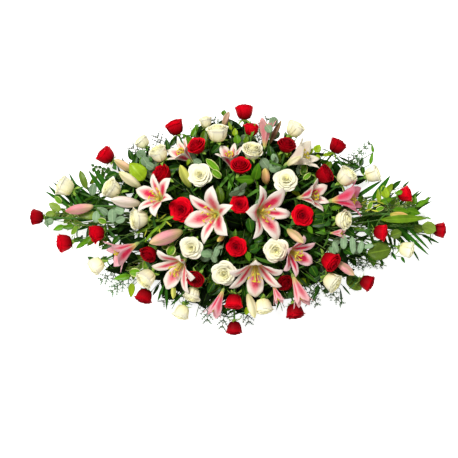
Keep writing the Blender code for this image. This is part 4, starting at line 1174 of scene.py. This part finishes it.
# By kind: share of the leaf's length at which its solid's last ring lies, thickest ring, ring reach for
# stems, leaf width, outline, colour, fold, arch, wave, and how many leaves to add between two.
HABITS = {
    "palm": (0.35, 0.0014, 0.0046, 0.0165, "palm", (0.020, 0.095, 0.005), 0.30, 0.03, 0.0, 0),
    "fern": (0.0, 0.0046, 0.0046, 0.0, None, (0.018, 0.090, 0.006), 0.0, 0.0, 0.0, 0),
    "eucalyptus": (0.72, 0.0014, 0.0036, 0.0280, "round", (0.20, 0.30, 0.16), 0.10, 0.04, 0.10, 0),
    "broad": (0.66, 0.0014, 0.0036, 0.0290, "ovate", (0.075, 0.21, 0.006), 0.22, 0.06, 0.05, 0),
    "variegated": (0.55, 0.0014, 0.0036, 0.0185, "oval", (0.16, 0.31, 0.02), 0.15, 0.05, 0.22, 1),
}


# How much lighter or darker than the rest some ferns are, and how much slimmer.
FERN_TONES = {
    "fern_left_low": 2.0,
    "fern_bottom_left": 1.4,
    "fern_top_right": 1.5,
    "fern_top_left": 0.5,
}
FERN_SLIMNESS = {
    "fern_top_right": 0.60,
    "fern_right_low": 0.60,
    "fern_bottom_right": 0.75,
    "fern_left_low": 0.85,
}
# The longest gap between two leaves on one side of a stem that another leaf is added in.
LEAF_GAP = 0.045


def nearest_on(paths, point):
    """The place on any of some polylines nearest to a point: path number, along, place and way ahead."""
    least, best = math.inf, None
    for number, path in enumerate(paths):
        run = 0.0
        for a, b in zip(path, path[1:]):
            span = b - a
            length = float(np.linalg.norm(span))
            share = float(np.clip(np.dot(point - a, span) / (length * length), 0, 1))
            spot = a + span * share
            gap = float(np.linalg.norm(point - spot))
            if gap < least:
                least, best = gap, (number, run + length * share, spot, span / length)
            run += length
    return best


def sprig_leaves(points, links, paths, kind):
    """Leaves of a node as (root, tip, across), those between neighbours added after them."""
    share, thin, *_, added = HABITS[kind]
    leaves = []
    for tip, middle, across in blades_of(points, links, thin):
        root = tip + (middle - tip) / (1 - share)
        number, along, spot, ahead = nearest_on(paths, root)
        turn = int(np.cross(ahead, tip - spot)[2] > 0)
        leaves.append((number, turn, along, spot, tip, across))
    leaves.sort(key=lambda row: row[:3])
    between = []
    for first, second in zip(leaves, leaves[1:]):
        if added and first[:2] == second[:2] and second[2] - first[2] < LEAF_GAP:
            between.append([(first[k] + second[k]) / 2 for k in (3, 4, 5)])
    return [row[3:] for row in leaves] + between


PINNULE_FACES = (
    np.array([[0, 1, 2], [0, 2, 3], [6, 5, 4], [7, 6, 4]]),
    np.array([[1, 0, 4, 5], [2, 1, 5, 6], [3, 2, 6, 7], [0, 3, 7, 4]]),
)


def pinna(skin, root, tip, side, reach, tint, slot, seed, pairs=3):
    """One branch of a fern frond: a thin rib with pairs of small leaflets that shorten to its tip."""
    ahead = unit(tip - root)
    side = unit(side - ahead * np.dot(side, ahead))
    face = np.cross(side, ahead)
    if face[2] < 0:
        face = -face
    tube(skin, [root, (root + tip) / 2, tip], (0.0015, 0.0013, 0.0005), slot, tint, 4, seed)
    shares = (np.arange(pairs) + 0.7) / pairs
    for sign in (-1, 1):
        for share in shares:
            foot = root + (tip - root) * share
            length = reach * (1.05 - 0.75 * share)
            grow = unit(side * sign * 0.80 + ahead * 0.60 - face * 0.18)
            wide = unit(np.cross(face, grow)) * max(0.0010, length * 0.14)
            end = foot + grow * length
            mid = foot + grow * length * 0.45
            front = np.array([foot, mid + wide, end, mid - wide]) + face * 0.0002
            points = np.concatenate([front, front - face * 0.0004])
            grown = np.array([[0, 0, seed], [1, 0.45, seed], [0, 1, seed], [-1, 0.45, seed]] * 2)
            skin.add(points, grown, np.asarray(tint), PINNULE_FACES, slot, False)


def dress_greens(frame, looks, heads, chance):
    """Finer stems and leaves in the places of the greenery's solids."""
    for name, (kind, sprigs) in GREENS.items():
        _, _, reach, width, outline, colour, fold, arch, wave, _ = HABITS[kind]
        points, links = welded(frame["nodes"][name])
        root = root_index(points)
        ways = [stem_of(points, links, root, place(*sprig), reach) for sprig in sprigs]
        paths = [rounded(way, 1) for way in ways]
        skin = Skin()
        for path in paths:
            thick = np.linspace(*SPRIG_TAPER, len(path)) * SPRIG_RADIUS
            bark = STEM_GREENS["palm" if kind == "palm" else "sprig"]
            tube(skin, path, thick, 1, bark, 7, chance.random())
        for start, tip, across in sprig_leaves(points, links, paths, kind):
            length = float(np.linalg.norm(tip - start))
            tone = chance.uniform(0.70, 1.30)
            tint = np.asarray(colour) * tone * (1, chance.uniform(0.9, 1.15), 1)
            seed = chance.random()
            if kind == "fern":
                tip = start + (tip - start) * FERN_SLIMNESS.get(name, 1.0)
                side = np.cross(tip - start, (0, 0, 1))
                tint = tint * FERN_TONES.get(name, 1.0)
                pinna(skin, start, tip, side, min(0.016, length * 0.42), tint, 0, seed)
                continue
            if kind != "palm":
                heads.shown.append((start + tip) / 2)
            widest = min(width, length * (0.75 if kind == "eucalyptus" else 0.5))
            widest *= chance.uniform(0.88, 1.1)
            arched = arch * chance.uniform(-0.5, 1.6)
            leaf(skin, start, tip, across, widest, outline, 0, tint, seed, fold, arched, wave, (9, 5))
        piece = skin.build(name + "_fine", [looks[kind], looks["stem"]])
        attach(piece, "root")
        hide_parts(name)


# Undergrowth


# Where the added stems leave the foam: how far in from its ends at least, at what share of their own
# reach along the spray and give or take how much, between which heights on its sides, and in which
# share of its top.
FOAM_END = 0.02
FOAM_SHARE = 0.42
FOAM_STRAY = 0.02
FOAM_SIDE = (0.042, 0.070)
FOAM_TOP_SHARE = 0.8
# A stem leaves by the foam's side if its tip is further aside than this, or lower.
SIDEWAYS = 0.10


def foam_start(goal, chance):
    """Where a stem towards goal leaves the foam."""
    reach = FOAM_HALF[0] - FOAM_END
    x = float(np.clip(goal[0] * FOAM_SHARE + chance.uniform(-FOAM_STRAY, FOAM_STRAY), -reach, reach))
    if abs(goal[1]) > SIDEWAYS or goal[2] < SIDEWAYS:
        y = math.copysign(FOAM_HALF[1], goal[1] if abs(goal[1]) > 0.01 else chance.uniform(-1, 1))
        return np.array([x, y, chance.uniform(*FOAM_SIDE)])
    return np.array([x, chance.uniform(-FOAM_TOP_SHARE, FOAM_TOP_SHARE) * FOAM_HALF[1], FOAM_TOP])


# Points along the middle of a filling stem and of a shown leaf's stem.
FILLER_POINTS = 12
SHOWN_POINTS = 10
# How far a stem's middle keeps above the lowest that a leaf may reach.
STEM_CLEAR = 0.002


def filler_sprig(skin, goal, shape, limit, chance, heads):
    """One leafy stem from the foam to goal. Leaves in a flower, over one, or too far out are left off."""
    outline, short, long, ratio, gap, begin, green, slot = shape
    start = foam_start(goal, chance)
    out = unit(np.array([goal[0] - start[0], goal[1] - start[1], 0.001]))
    rise = np.array([0, 0, 1.0])
    span = float(np.linalg.norm(goal - start))
    bulge = start + (out * 0.5 + rise * 0.35) * span * 0.5
    controls = (start - out * STEM_START, bulge, goal * 0.6 + start * 0.4 + rise * 0.03, goal)
    line = bezier(np.linspace(0, 1, FILLER_POINTS), controls)
    line[:, 2] = np.maximum(line[:, 2], FLOOR_CLEAR + STEM_CLEAR)
    radii = np.linspace(*FILLER_STEM, FILLER_POINTS)
    tube(skin, line, radii, 1, STEM_GREENS["filler"], 5, chance.random())
    steps = FILLER_POINTS - 1
    count = max(3, int(span * (1 - begin) / gap))
    turn = chance.choice((-1, 1))
    for k in range(count + 1):
        share = begin + (1 - begin) * k / count
        spot = bezier(share, controls)
        spot[2] = max(spot[2], FLOOR_CLEAR + STEM_CLEAR)
        step = int(share * steps)
        ahead = unit(line[min(steps, step + 1)] - line[min(steps - 1, step)])
        angle = chance.uniform(-10, 10) if k == count else turn * chance.uniform(38, 72)
        turn = -turn
        grow = turned_about(rise, np.array([ahead[0], ahead[1], 0.0]) + 1e-6, angle)
        grow = unit(unit(grow) + rise * chance.uniform(-0.30, 0.35))
        length = chance.uniform(short, long)
        width = length * ratio * chance.uniform(0.85, 1.15)
        tip = spot + grow * length
        tip[2] = max(tip[2], FLOOR_CLEAR)
        side = np.cross(grow, rise) + rise * chance.uniform(-0.35, 0.35)
        if mound_reach(tip) > limit or not within_edge(tip) or heads.meets_leaf(spot, tip, side, width):
            continue
        if heads.hides_shown(spot, tip) or heads.covers_head(spot, tip):
            continue
        tone = chance.uniform(0.45, 1.35)
        tint = np.asarray(green) * tone * (chance.uniform(0.9, 1.4), 1, 1)
        seed, arch = chance.random(), chance.uniform(-0.06, 0.10)
        leaf(skin, spot, tip, side, width, outline, slot, tint, seed, 0.2, arch, 0.05, (6, 5))


# Leaves that the photograph shows one by one, by kind: photo x and y of the middle, length and width in
# pixels, heading in degrees, and where it isn't at the kind's own depth, how far above that in millimetres.
SHOWN_LEAVES = {
    "glossy": [
        (306, 200, 14, 10, 100), (322, 214, 20, 11, 5), (317, 224, 16, 10, 190), (253, 177, 17, 11, 60),
        (255, 248, 14, 9, 20), (215, 290, 15, 10, 215), (361, 162, 9, 5, 75), (355, 167, 8, 4, 165),
        (362, 171, 9, 5, 280), (174, 169, 15, 9, 190), (112, 176, 14, 8, 200), (348, 231, 14, 9, 320),
        (206, 230, 14, 9, 250), (250, 226, 15, 9, 280), (287, 231, 13, 9, 250), (216, 150, 12, 8, 220),
        (270, 152, 12, 8, 100), (310, 164, 12, 8, 60), (162, 268, 12, 7, 240), (211, 287, 13, 8, 240),
        (244, 291, 11, 7, 280), (313, 271, 13, 9, 300), (347, 251, 12, 8, 330), (92, 165, 4, 3, 150),
        (96, 167, 4, 3, 200), (100, 167, 4, 3, 160), (104, 169, 4, 3, 190), (107, 172, 4, 3, 150),
        (109, 169, 4, 3, 120), (330, 172, 10, 6, 100), (258, 240, 10, 6, 200), (94, 170, 5, 4, 250),
        (99, 172, 5, 4, 120), (104, 174, 5, 4, 230), (168, 146, 13, 6, 100), (174, 141, 12, 6, 60),
        (179, 145, 10, 5, 120), (131, 155, 12, 6, 110), (136, 161, 11, 6, 70), (108, 246, 13, 6, 210),
        (117, 240, 12, 6, 230), (92, 259, 9, 5, 150), (104, 259, 9, 5, 40), (286, 137, 10, 5, 100),
    ],
    "green": [
        (335, 208, 12, 5, 10), (309, 230, 9, 5, 300), (248, 256, 10, 6, 280), (235, 233, 8, 4, 85),
        (237, 140, 10, 8, 100), (195, 131, 16, 6, 62), (105, 235, 23, 5, 262), (123, 277, 18, 7, 190),
        (251, 128, 14, 3, 100), (172, 241, 9, 4, 110), (400, 211, 18, 7, 352), (385, 201, 14, 7, 20),
        (213, 172, 11, 6, 150), (414, 200, 9, 5, 85), (421, 203, 14, 6, 28), (427, 200, 8, 4, 60),
        (412, 212, 15, 8, 345), (77, 240, 12, 5, 200), (82, 245, 12, 5, 215), (88, 241, 14, 6, 220),
        (60, 228, 12, 6, 200), (70, 227, 12, 6, 190), (372, 158, 13, 4, 78), (373, 148, 9, 3, 100),
        (224, 113, 6, 6, 80), (253, 131, 15, 3, 75, 30), (397, 193, 8, 5, 200, 20),
    ],
    "lime": [
        (317, 149, 9, 8, 60), (310, 152, 8, 5, 50), (316, 158, 8, 5, 200), (327, 155, 9, 4, 10),
        (138, 172, 22, 18, 130), (235, 133, 8, 6, 90), (230, 127, 9, 4, 110), (268, 131, 9, 7, 70),
        (273, 124, 8, 6, 60), (247, 310, 9, 6, 250), (174, 250, 5, 3, 60), (189, 163, 7, 4, 250),
        (383, 192, 15, 9, 110), (377, 196, 14, 5, 95), (388, 189, 13, 7, 60), (298, 239, 8, 4, 280),
        (226, 150, 9, 4, 60), (132, 290, 15, 7, 265),
    ],
    "olive": [
        (378, 251, 24, 18, 10), (394, 234, 12, 10, 200), (354, 283, 20, 13, 318), (84, 180, 20, 7, 110),
        (417, 229, 10, 8, 330),
    ],
    "moss": [(220, 195, 17, 9, 100), (204, 139, 17, 8, 80), (246, 141, 9, 5, 250), (327, 167, 12, 7, 60)],
    "pale": [(428, 228, 15, 13, 340), (56, 207, 14, 8, 150), (51, 214, 11, 7, 185), (89, 215, 22, 9, 175)],
    "silver": [
        (207, 255, 15, 11, 225), (217, 251, 12, 6, 250), (193, 158, 12, 8, 110), (198, 163, 9, 7, 330),
        (142, 155, 10, 9, 140), (146, 162, 10, 9, 120), (151, 167, 9, 8, 150), (239, 192, 12, 9, 10, 18),
        (274, 160, 11, 7, 110), (334, 247, 12, 6, 290), (342, 242, 14, 7, 268), (351, 245, 18, 6, 275),
        (359, 247, 13, 6, 255), (367, 246, 10, 5, 10), (94, 190, 12, 8, 80), (298, 170, 10, 5, 80),
        (121, 211, 10, 8, 160), (122, 220, 10, 7, 200), (106, 212, 9, 7, 140), (259, 203, 10, 7, 40),
        (273, 123, 10, 9, 70, 50), (268, 130, 9, 8, 120, 50), (229, 125, 9, 6, 60), (50, 222, 10, 7, 200),
        (98, 217, 12, 8, 85), (114, 216, 14, 9, 92),
    ],
    "margined": [
        (303, 170, 13, 8, 80), (306, 177, 10, 5, 40), (213, 166, 18, 7, 318), (217, 175, 12, 7, 320),
        (172, 250, 11, 9, 60), (136, 272, 12, 9, 175), (104, 221, 9, 6, 160), (59, 200, 10, 6, 130),
        (368, 206, 9, 5, 60), (378, 209, 9, 5, 20), (190, 227, 11, 6, 170),
    ],
    "frond": [
        (98, 183, 30, 5, 125), (102, 179, 24, 6, 128), (76, 187, 32, 4, 117), (80, 200, 14, 3, 120),
        (76, 202, 14, 2, 122), (73, 204, 12, 2, 125), (66, 203, 16, 2, 128), (368, 189, 32, 4, 33),
        (380, 188, 30, 6, 53), (395, 185, 14, 5, 40), (400, 240, 26, 5, 314), (404, 236, 24, 4, 312),
        (406, 184, 9, 2, 42), (415, 194, 11, 2, 40),
        (413, 241, 42, 4, 317), (417, 238, 34, 3, 315), (431, 239, 20, 3, 334), (429, 240, 12, 2, 303),
        (417, 256, 12, 2, 300), (403, 260, 7, 3, 300), (393, 256, 9, 3, 302), (381, 262, 6, 3, 300),
    ],
    "blade": [
        (402, 219, 46, 8.5, 2, 34), (150, 226, 20, 3, 215), (157, 221, 18, 3, 205), (146, 222, 16, 3, 190),
        (163, 226, 16, 3, 230), (155, 231, 15, 3, 222), (168, 219, 16, 3, 200), (143, 231, 14, 3, 205),
        (150, 237, 13, 3, 230), (360, 230, 25, 3, 344),
    ],
    "spike": [
        (167, 296, 27, 3, 270), (161, 293, 17, 3, 250), (177, 299, 17, 3, 225), (156, 290, 13, 3, 240),
        (341, 297, 15, 2, 275), (346, 290, 13, 2, 310), (309, 300, 17, 2, 235), (314, 296, 12, 2, 255),
    ],
    "twig": [
        (362, 203, 9, 1.6, 30), (366, 206, 9, 1.6, 150), (371, 202, 10, 1.6, 10), (375, 206, 8, 1.6, 200),
        (379, 203, 9, 1.6, 340), (367, 210, 8, 1.6, 20), (373, 211, 8, 1.6, 170), (360, 208, 7, 1.6, 60),
        (152, 216, 9, 1.4, 60), (158, 214, 9, 1.4, 100), (164, 217, 9, 1.4, 40), (170, 224, 8, 1.4, 320),
        (161, 232, 8, 1.4, 280), (147, 233, 8, 1.4, 250),
    ],
}
# How they look: outline, colour, depth below the mound, fold and wave, then the material.
SHOWN_KINDS = {
    "glossy": ("ovate", (0.012, 0.065, 0.003), 0.018, 0.22, 0.04, "broad"),
    "green": ("ovate", (0.085, 0.230, 0.006), 0.010, 0.24, 0.06, "broad"),
    "lime": ("ovate", (0.250, 0.380, 0.010), 0.008, 0.18, 0.08, "broad"),
    "olive": ("oval", (0.110, 0.185, 0.018), 0.008, 0.12, 0.08, "broad"),
    "moss": ("oval", (0.075, 0.145, 0.003), 0.002, 0.20, 0.05, "broad"),
    "pale": ("oval", (0.220, 0.330, 0.045), 0.008, 0.12, 0.08, "broad"),
    "silver": ("round", (0.210, 0.320, 0.175), 0.010, 0.10, 0.08, "eucalyptus"),
    "margined": ("oval", (0.120, 0.300, 0.010), 0.008, 0.16, 0.14, "variegated"),
    "frond": ("palm", (0.022, 0.115, 0.005), 0.012, 0.30, 0.02, "palm"),
    "blade": ("lance", (0.160, 0.310, 0.012), 0.016, 0.30, 0.20, "broad"),
    "spike": ("lance", (0.020, 0.090, 0.006), 0.016, 0.30, 0.10, "palm"),
    "twig": ("lance", (0.420, 0.460, 0.040), 0.010, 0.20, 0.10, "broad"),
}
# How much lower a leaf is set, step by step, until it is clear of the flowers, and the lowest it gets.
SHOWN_STEPS = (0.0, 0.008, 0.016, 0.026, 0.038)
SHOWN_FLOOR = 0.016
# Where along a leaf the filling keeps clear of it.
SHOWN_SPOTS = (0.15, 0.35, 0.5, 0.65, 0.85)


def shown_ends(row, sunk, heads):
    """Root, tip, side and width of one shown leaf, set as low as the flowers round it need."""
    px, py, length, width, heading, *rise = row
    raised = rise[0] / 1000 if rise else 0.0
    width = width * PIXEL
    angle = math.radians(heading)
    half = np.array([math.cos(angle), math.sin(angle), -0.10]) * length * PIXEL / 2
    side = np.array([-math.sin(angle), math.cos(angle), 0.0])
    for step in SHOWN_STEPS:
        middle = place(px, py)
        middle[2] = max(SHOWN_FLOOR, mound_height(middle) - sunk - step + raised)
        if rise or not heads.meets_leaf(middle - half, middle + half, side, width):
            break
    return middle - half, middle + half, side, width


def grow_shown(looks, heads, chance):
    """The leaves of the table above, each on a thin stem of its own from the foam."""
    for kind, rows in SHOWN_LEAVES.items():
        outline, colour, sunk, fold, wave, look = SHOWN_KINDS[kind]
        skin = Skin()
        for row in rows:
            root, tip, side, width = shown_ends(row, sunk, heads)
            start = foam_start(root, chance)
            bend = start * 0.4 + root * 0.6 - (0, 0, 0.01)
            bend[2] = max(bend[2], FLOOR_CLEAR + 2 * STEM_CLEAR)
            controls = (start - unit(root - start) * STEM_START, bend, bend * 0.3 + root * 0.7, root)
            line = bezier(np.linspace(0, 1, SHOWN_POINTS), controls)
            radii = np.linspace(*SHOWN_STEM, SHOWN_POINTS)
            tube(skin, line, radii, 1, STEM_GREENS["shown"], 5, chance.random())
            tint = np.asarray(colour) * chance.uniform(0.75, 1.25)
            seed, arch = chance.random(), chance.uniform(0.0, 0.07)
            leaf(skin, root, tip, side, width, outline, 0, tint, seed, fold, arch, wave, (9, 7))
            heads.shown += [root * share + tip * (1 - share) for share in SHOWN_SPOTS]
        piece = skin.build(f"{kind}_leaves", [looks[look], looks["stem"]])
        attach(piece, "root")


# Corners of the arrangement's edge in the photograph, heads left out: the filling keeps inside them.
EDGE_CORNERS = (
    (45, 222), (60, 196), (72, 188), (95, 170), (112, 165), (128, 152), (150, 135), (165, 138),
    (182, 142), (195, 125), (208, 120), (222, 112), (240, 118), (262, 118), (280, 122), (290, 140),
    (310, 148), (328, 152), (345, 158), (362, 160), (380, 182), (400, 186), (415, 192), (430, 200),
    (428, 215), (440, 228), (438, 242), (428, 250), (405, 261), (385, 261), (360, 264), (350, 280),
    (338, 290), (318, 298), (300, 303), (285, 310), (262, 312), (245, 316), (225, 318), (212, 309),
    (200, 309), (182, 302), (165, 302), (150, 287), (130, 287), (112, 278), (100, 270), (90, 257),
    (97, 248), (80, 248), (60, 232),
)


def within_edge(point):
    """Whether a point of the plan lies inside the arrangement's edge."""
    x, y = point[0] / PIXEL + CENTRE_PX[0], CENTRE_PX[1] - point[1] / PIXEL
    inside = False
    for (ax, ay), (bx, by) in zip(EDGE_CORNERS, EDGE_CORNERS[1:] + EDGE_CORNERS[:1]):
        if (ay > y) != (by > y) and x < ax + (bx - ax) * (y - ay) / (by - ay):
            inside = not inside
    return inside


# Kinds of filling greenery: outline, shortest and longest leaf, width to length, gap between leaves, share of
# the stem where the leaves begin, colour, material slot. The near-black of the deep ones, low under the
# flowers and round the foot, is painted shade.
FILLERS = {
    "deep": ("ovate", 0.055, 0.080, 0.56, 0.026, 0.25, (0.003, 0.016, 0.001), 0),
    "mid": ("ovate", 0.032, 0.052, 0.48, 0.018, 0.55, (0.008, 0.038, 0.001), 0),
    "narrow": ("lance", 0.040, 0.070, 0.15, 0.009, 0.50, (0.020, 0.074, 0.002), 0),
    "bright": ("ovate", 0.028, 0.044, 0.46, 0.015, 0.70, (0.150, 0.260, 0.006), 0),
}


# How far along the spray its thinner ends begin, the share of the stems between the flowers that is
# left out there, and how far from the middle the pieces of the filling are divided.
END_START = 0.33
END_BARE = 0.65
MIDDLE_HALF = 0.16
# The filling's stems: their spacing, how far out their tips and their leaves may reach as shares of the
# mound, and how far below its surface the tips lie.
UNDERGROWTH = (0.062, 0.90, 0.92, (0.055, 0.085))
BETWEEN = (0.044, 0.95, 0.97, (0.020, 0.055))
UNDERGROWTH_LOWEST = 0.022
BETWEEN_LOWEST = 0.030
BETWEEN_KINDS = {"mid": 0.58, "narrow": 0.32, "bright": 0.10}
# The collar round the foot: how many stems, how far out and how high their tips are.
COLLAR_STEMS = 54
COLLAR_REACH = (0.72, 0.82)
COLLAR_HEIGHT = (0.016, 0.040)


def jittered(spacing, limit, chance):
    """Points of the plan on a shaken grid, within a share of the mound's reach."""
    spots = []
    steps_x, steps_y = int(MOUND_HALF[0] / spacing) + 1, int(MOUND_HALF[1] / spacing) + 1
    for i in range(-steps_x, steps_x + 1):
        for j in range(-steps_y, steps_y + 1):
            shift = (chance.uniform(-0.4, 0.4), chance.uniform(-0.4, 0.4))
            point = np.array([(i + shift[0]) * spacing, (j + shift[1]) * spacing, 0.0])
            if mound_reach(point) < limit:
                spots.append(point)
    return spots


def grow_filling(looks, heads, chance):
    """Leafy stems that fill the mound below and between the flowers, in a few pieces."""
    skins = {}

    def skin_at(layer, point):
        side = "left" if point[0] < -MIDDLE_HALF else "right" if point[0] > MIDDLE_HALF else "middle"
        return skins.setdefault(f"{layer}_{side}", Skin())

    spacing, reach, limit, depth = UNDERGROWTH
    for point in jittered(spacing, reach, chance):
        if abs(point[0]) > END_START:
            continue
        point[2] = max(UNDERGROWTH_LOWEST, mound_height(point) - chance.uniform(*depth))
        filler_sprig(skin_at("undergrowth", point), point, FILLERS["deep"], limit, chance, heads)
    collar_limit = limit
    spacing, reach, limit, depth = BETWEEN
    for point in jittered(spacing, reach, chance):
        if heads.over(point) or (abs(point[0]) > END_START and chance.random() < END_BARE):
            continue
        point[2] = max(BETWEEN_LOWEST, mound_height(point) - chance.uniform(*depth))
        kind = chance.choices(tuple(BETWEEN_KINDS), tuple(BETWEEN_KINDS.values()))[0]
        filler_sprig(skin_at("between", point), point, FILLERS[kind], limit, chance, heads)
    for k in range(COLLAR_STEMS):
        angle = math.tau * k / COLLAR_STEMS
        ray = np.array([math.cos(angle) * MOUND_HALF[0], math.sin(angle) * MOUND_HALF[1], 0.0])
        point = ray / mound_reach(ray) * chance.uniform(*COLLAR_REACH)
        point[2] = chance.uniform(*COLLAR_HEIGHT)
        if abs(point[0]) < END_START:
            filler_sprig(skin_at("collar", point), point, FILLERS["deep"], collar_limit, chance, heads)
    for name, skin in sorted(skins.items()):
        piece = skin.build(name, [looks["filler"], looks["stem"]])
        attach(piece, "root")


# The stage


CAMERA_HEIGHT = 8.0
# Height above the floor at which the photograph's scale holds.
CAMERA_LEVEL = 0.10
SENSOR = 36.0
FLOOR_SIZE = 12.0
FLOOR_DROP = 0.0005
FLOOR_GLOW = 0.70
WORLD_LIGHT = 0.34
# Suns by name: tilt about X and about Y in degrees, strength, and width in degrees.
SUNS = {
    "key": (-20, -18, 3.1, 18),
    "fill": (40, 35, 0.4, 50),
}


def build_stage():
    """Pale floor, soft light from above, and a long lens straight overhead."""
    bpy.ops.mesh.primitive_plane_add(size=FLOOR_SIZE, location=(0, 0, -FLOOR_DROP))
    floor = bpy.context.object
    floor.name = "floor"
    look = Look("floor", 0.9, emission_color=(1, 1, 1, 1), emission_strength=FLOOR_GLOW)
    grain = look.noise(30.0)
    look.link("Base Color", look.ramp(grain, ((0.3, 0.90), (0.7, 0.92))))
    floor.data.materials.append(look.material)
    middle = place(PHOTO_PX / 2, PHOTO_PX / 2)
    camera = bpy.data.objects.new("camera", bpy.data.cameras.new("camera"))
    camera.location = (middle[0], middle[1], CAMERA_HEIGHT)
    camera.data.sensor_width = SENSOR
    camera.data.lens = SENSOR * (CAMERA_HEIGHT - CAMERA_LEVEL) / (PHOTO_PX * PIXEL)
    camera.data.clip_end = 50
    bpy.context.scene.collection.objects.link(camera)
    bpy.context.scene.camera = camera
    for name, (tilt_x, tilt_y, strength, wide) in SUNS.items():
        light = bpy.data.objects.new(name, bpy.data.lights.new(name, "SUN"))
        light.data.energy = strength
        light.data.angle = math.radians(wide)
        light.rotation_euler = (math.radians(tilt_x), math.radians(tilt_y), 0)
        bpy.context.scene.collection.objects.link(light)
    world = bpy.data.worlds.new("studio")
    bpy.context.scene.world = world
    world.use_nodes = True
    world.node_tree.nodes["Background"].inputs["Color"].default_value = (1, 1, 1, 1)
    world.node_tree.nodes["Background"].inputs["Strength"].default_value = WORLD_LIGHT
    bpy.context.scene.view_settings.view_transform = "Standard"


# Colours of a rose petal at its foot, its body and its rim, and how dark its veins are. The red's near-black
# foot is painted shade deep in the rose and its lighter rim a painted highlight; the white's cream-yellow
# foot is its own colour.
RED_PETAL = ((0.06, 0.0, 0.001), (0.82, 0.001, 0.012), (0.90, 0.002, 0.020), 0.74)
WHITE_PETAL = ((0.98, 0.90, 0.42), (0.98, 0.95, 0.74), (0.99, 0.97, 0.80), 0.98)
# What the rib and veins of each kind of leaf are lightened by, and the cream of a leaf's margin.
RIBS = {
    "palm": (0.03, 0.07, 0.004),
    "fern": (0.03, 0.06, 0.02),
    "eucalyptus": (0.20, 0.26, 0.13),
    "broad": (0.10, 0.16, 0.01),
    "variegated": (0.14, 0.18, 0.03),
    "filler": (0.03, 0.07, 0.002),
}
CREAM = (0.64, 0.70, 0.24)
# Grained matter: name, roughness, darker and lighter colour, grain, and its relief's strength and depth.
PLAIN_LOOKS = {
    "filament": ("filament", 0.4, (0.50, 0.52, 0.06), (0.72, 0.70, 0.14), 300.0, 0.2, 0.0004),
    "anther": ("anther", 0.8, (0.62, 0.48, 0.01), (0.80, 0.68, 0.04), 900.0, 0.8, 0.0006),
    "tray": ("tray_plastic", 0.45, (0.015, 0.075, 0.025), (0.025, 0.10, 0.035), 120.0, 0.15, 0.0005),
    "foam": ("wet_foam", 0.9, (0.05, 0.15, 0.05), (0.12, 0.27, 0.10), 500.0, 0.9, 0.0015),
    "tape": ("florist_tape", 0.5, (0.025, 0.13, 0.04), (0.04, 0.18, 0.06), 260.0, 0.4, 0.0006),
}


def build_looks():
    """All materials by the names that the pieces are dressed with."""
    looks = {
        "red": petal_look("red_petal", 0.55, *RED_PETAL),
        "white": petal_look("white_petal", 0.55, *WHITE_PETAL),
        "lily": lily_look(),
        "bud": bud_look(),
        "stem": stem_look(),
        "palm": leaf_look("palm_leaf", 0.45, RIBS["palm"], 0.10, 0.03),
        "fern": leaf_look("fern_leaf", 0.55, RIBS["fern"], 0.10),
        "eucalyptus": leaf_look("eucalyptus_leaf", 0.68, RIBS["eucalyptus"], 0.25),
        "broad": leaf_look("broad_leaf", 0.40, RIBS["broad"], 0.30, 0.08),
        "variegated": leaf_look("variegated_leaf", 0.42, RIBS["variegated"], 0.20, 0.04, CREAM),
        "filler": leaf_look("filler_leaf", 0.45, RIBS["filler"], 0.22, 0.02),
    }
    for key, values in PLAIN_LOOKS.items():
        looks[key] = plain_look(*values)
    return looks


def dress_holders(frame, looks):
    """Materials for the solids that stay as they are."""
    for name in ("tray", "foam_brick_left", "foam_brick_right", "tape_left", "tape_right"):
        node = frame["nodes"][name]
        node.data.materials.clear()
        node.data.materials.append(looks[name.split("_")[0]])


def dress_blooms(frame, looks, chance):
    """Finer flowers in the places of the solid ones, and the room that their heads take up."""
    groups = {
        "red": {name: [Bloom("rose", *row) for row in rows] for name, rows in RED_ROSES.items()},
        "white": {name: [Bloom("rose", *row) for row in rows] for name, rows in WHITE_ROSES.items()},
        "lily": {name: [Bloom(*row) for row in rows] for name, rows in LILIES.items()},
    }
    nodes = [(colour, name, blooms) for colour, group in groups.items() for name, blooms in group.items()]
    heads = Heads([bloom for _, _, blooms in nodes for bloom in blooms])
    for colour, name, blooms in nodes:
        skin = Skin()
        bloom_stems(skin, frame["nodes"][name], blooms, chance)
        for bloom in blooms:
            if bloom.kind == "rose":
                # Roses in deeper shade are darkened all over: painted shade.
                shade = SHADED_ROSE_TINT if bloom.spot in SHADED_ROSES else 1.0
                rim, heart = [np.asarray(tint) * shade for tint in ROSE_TINTS[colour]]
                rose(skin, bloom, rim, heart, ROSE_ROLLS[colour], chance)
            elif bloom.kind == "bud":
                bud(skin, bloom, chance)
            else:
                lily(skin, bloom, chance)
            stem_leaves(skin, bloom, chance, heads)
        kinds = [looks[colour], looks["stem"], looks["filament"], looks["anther"], looks["bud"]]
        piece = skin.build(name + "_fine", kinds if colour == "lily" else kinds[:2])
        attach(piece, "root")
        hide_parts(name)
    return heads


def main():
    """The dressed spray on its stage."""
    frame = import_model()
    chance = random.Random(SEED)
    looks = build_looks()
    dress_holders(frame, looks)
    heads = dress_blooms(frame, looks, chance)
    dress_greens(frame, looks, heads, chance)
    grow_shown(looks, heads, chance)
    grow_filling(looks, heads, chance)
    build_stage()


main()
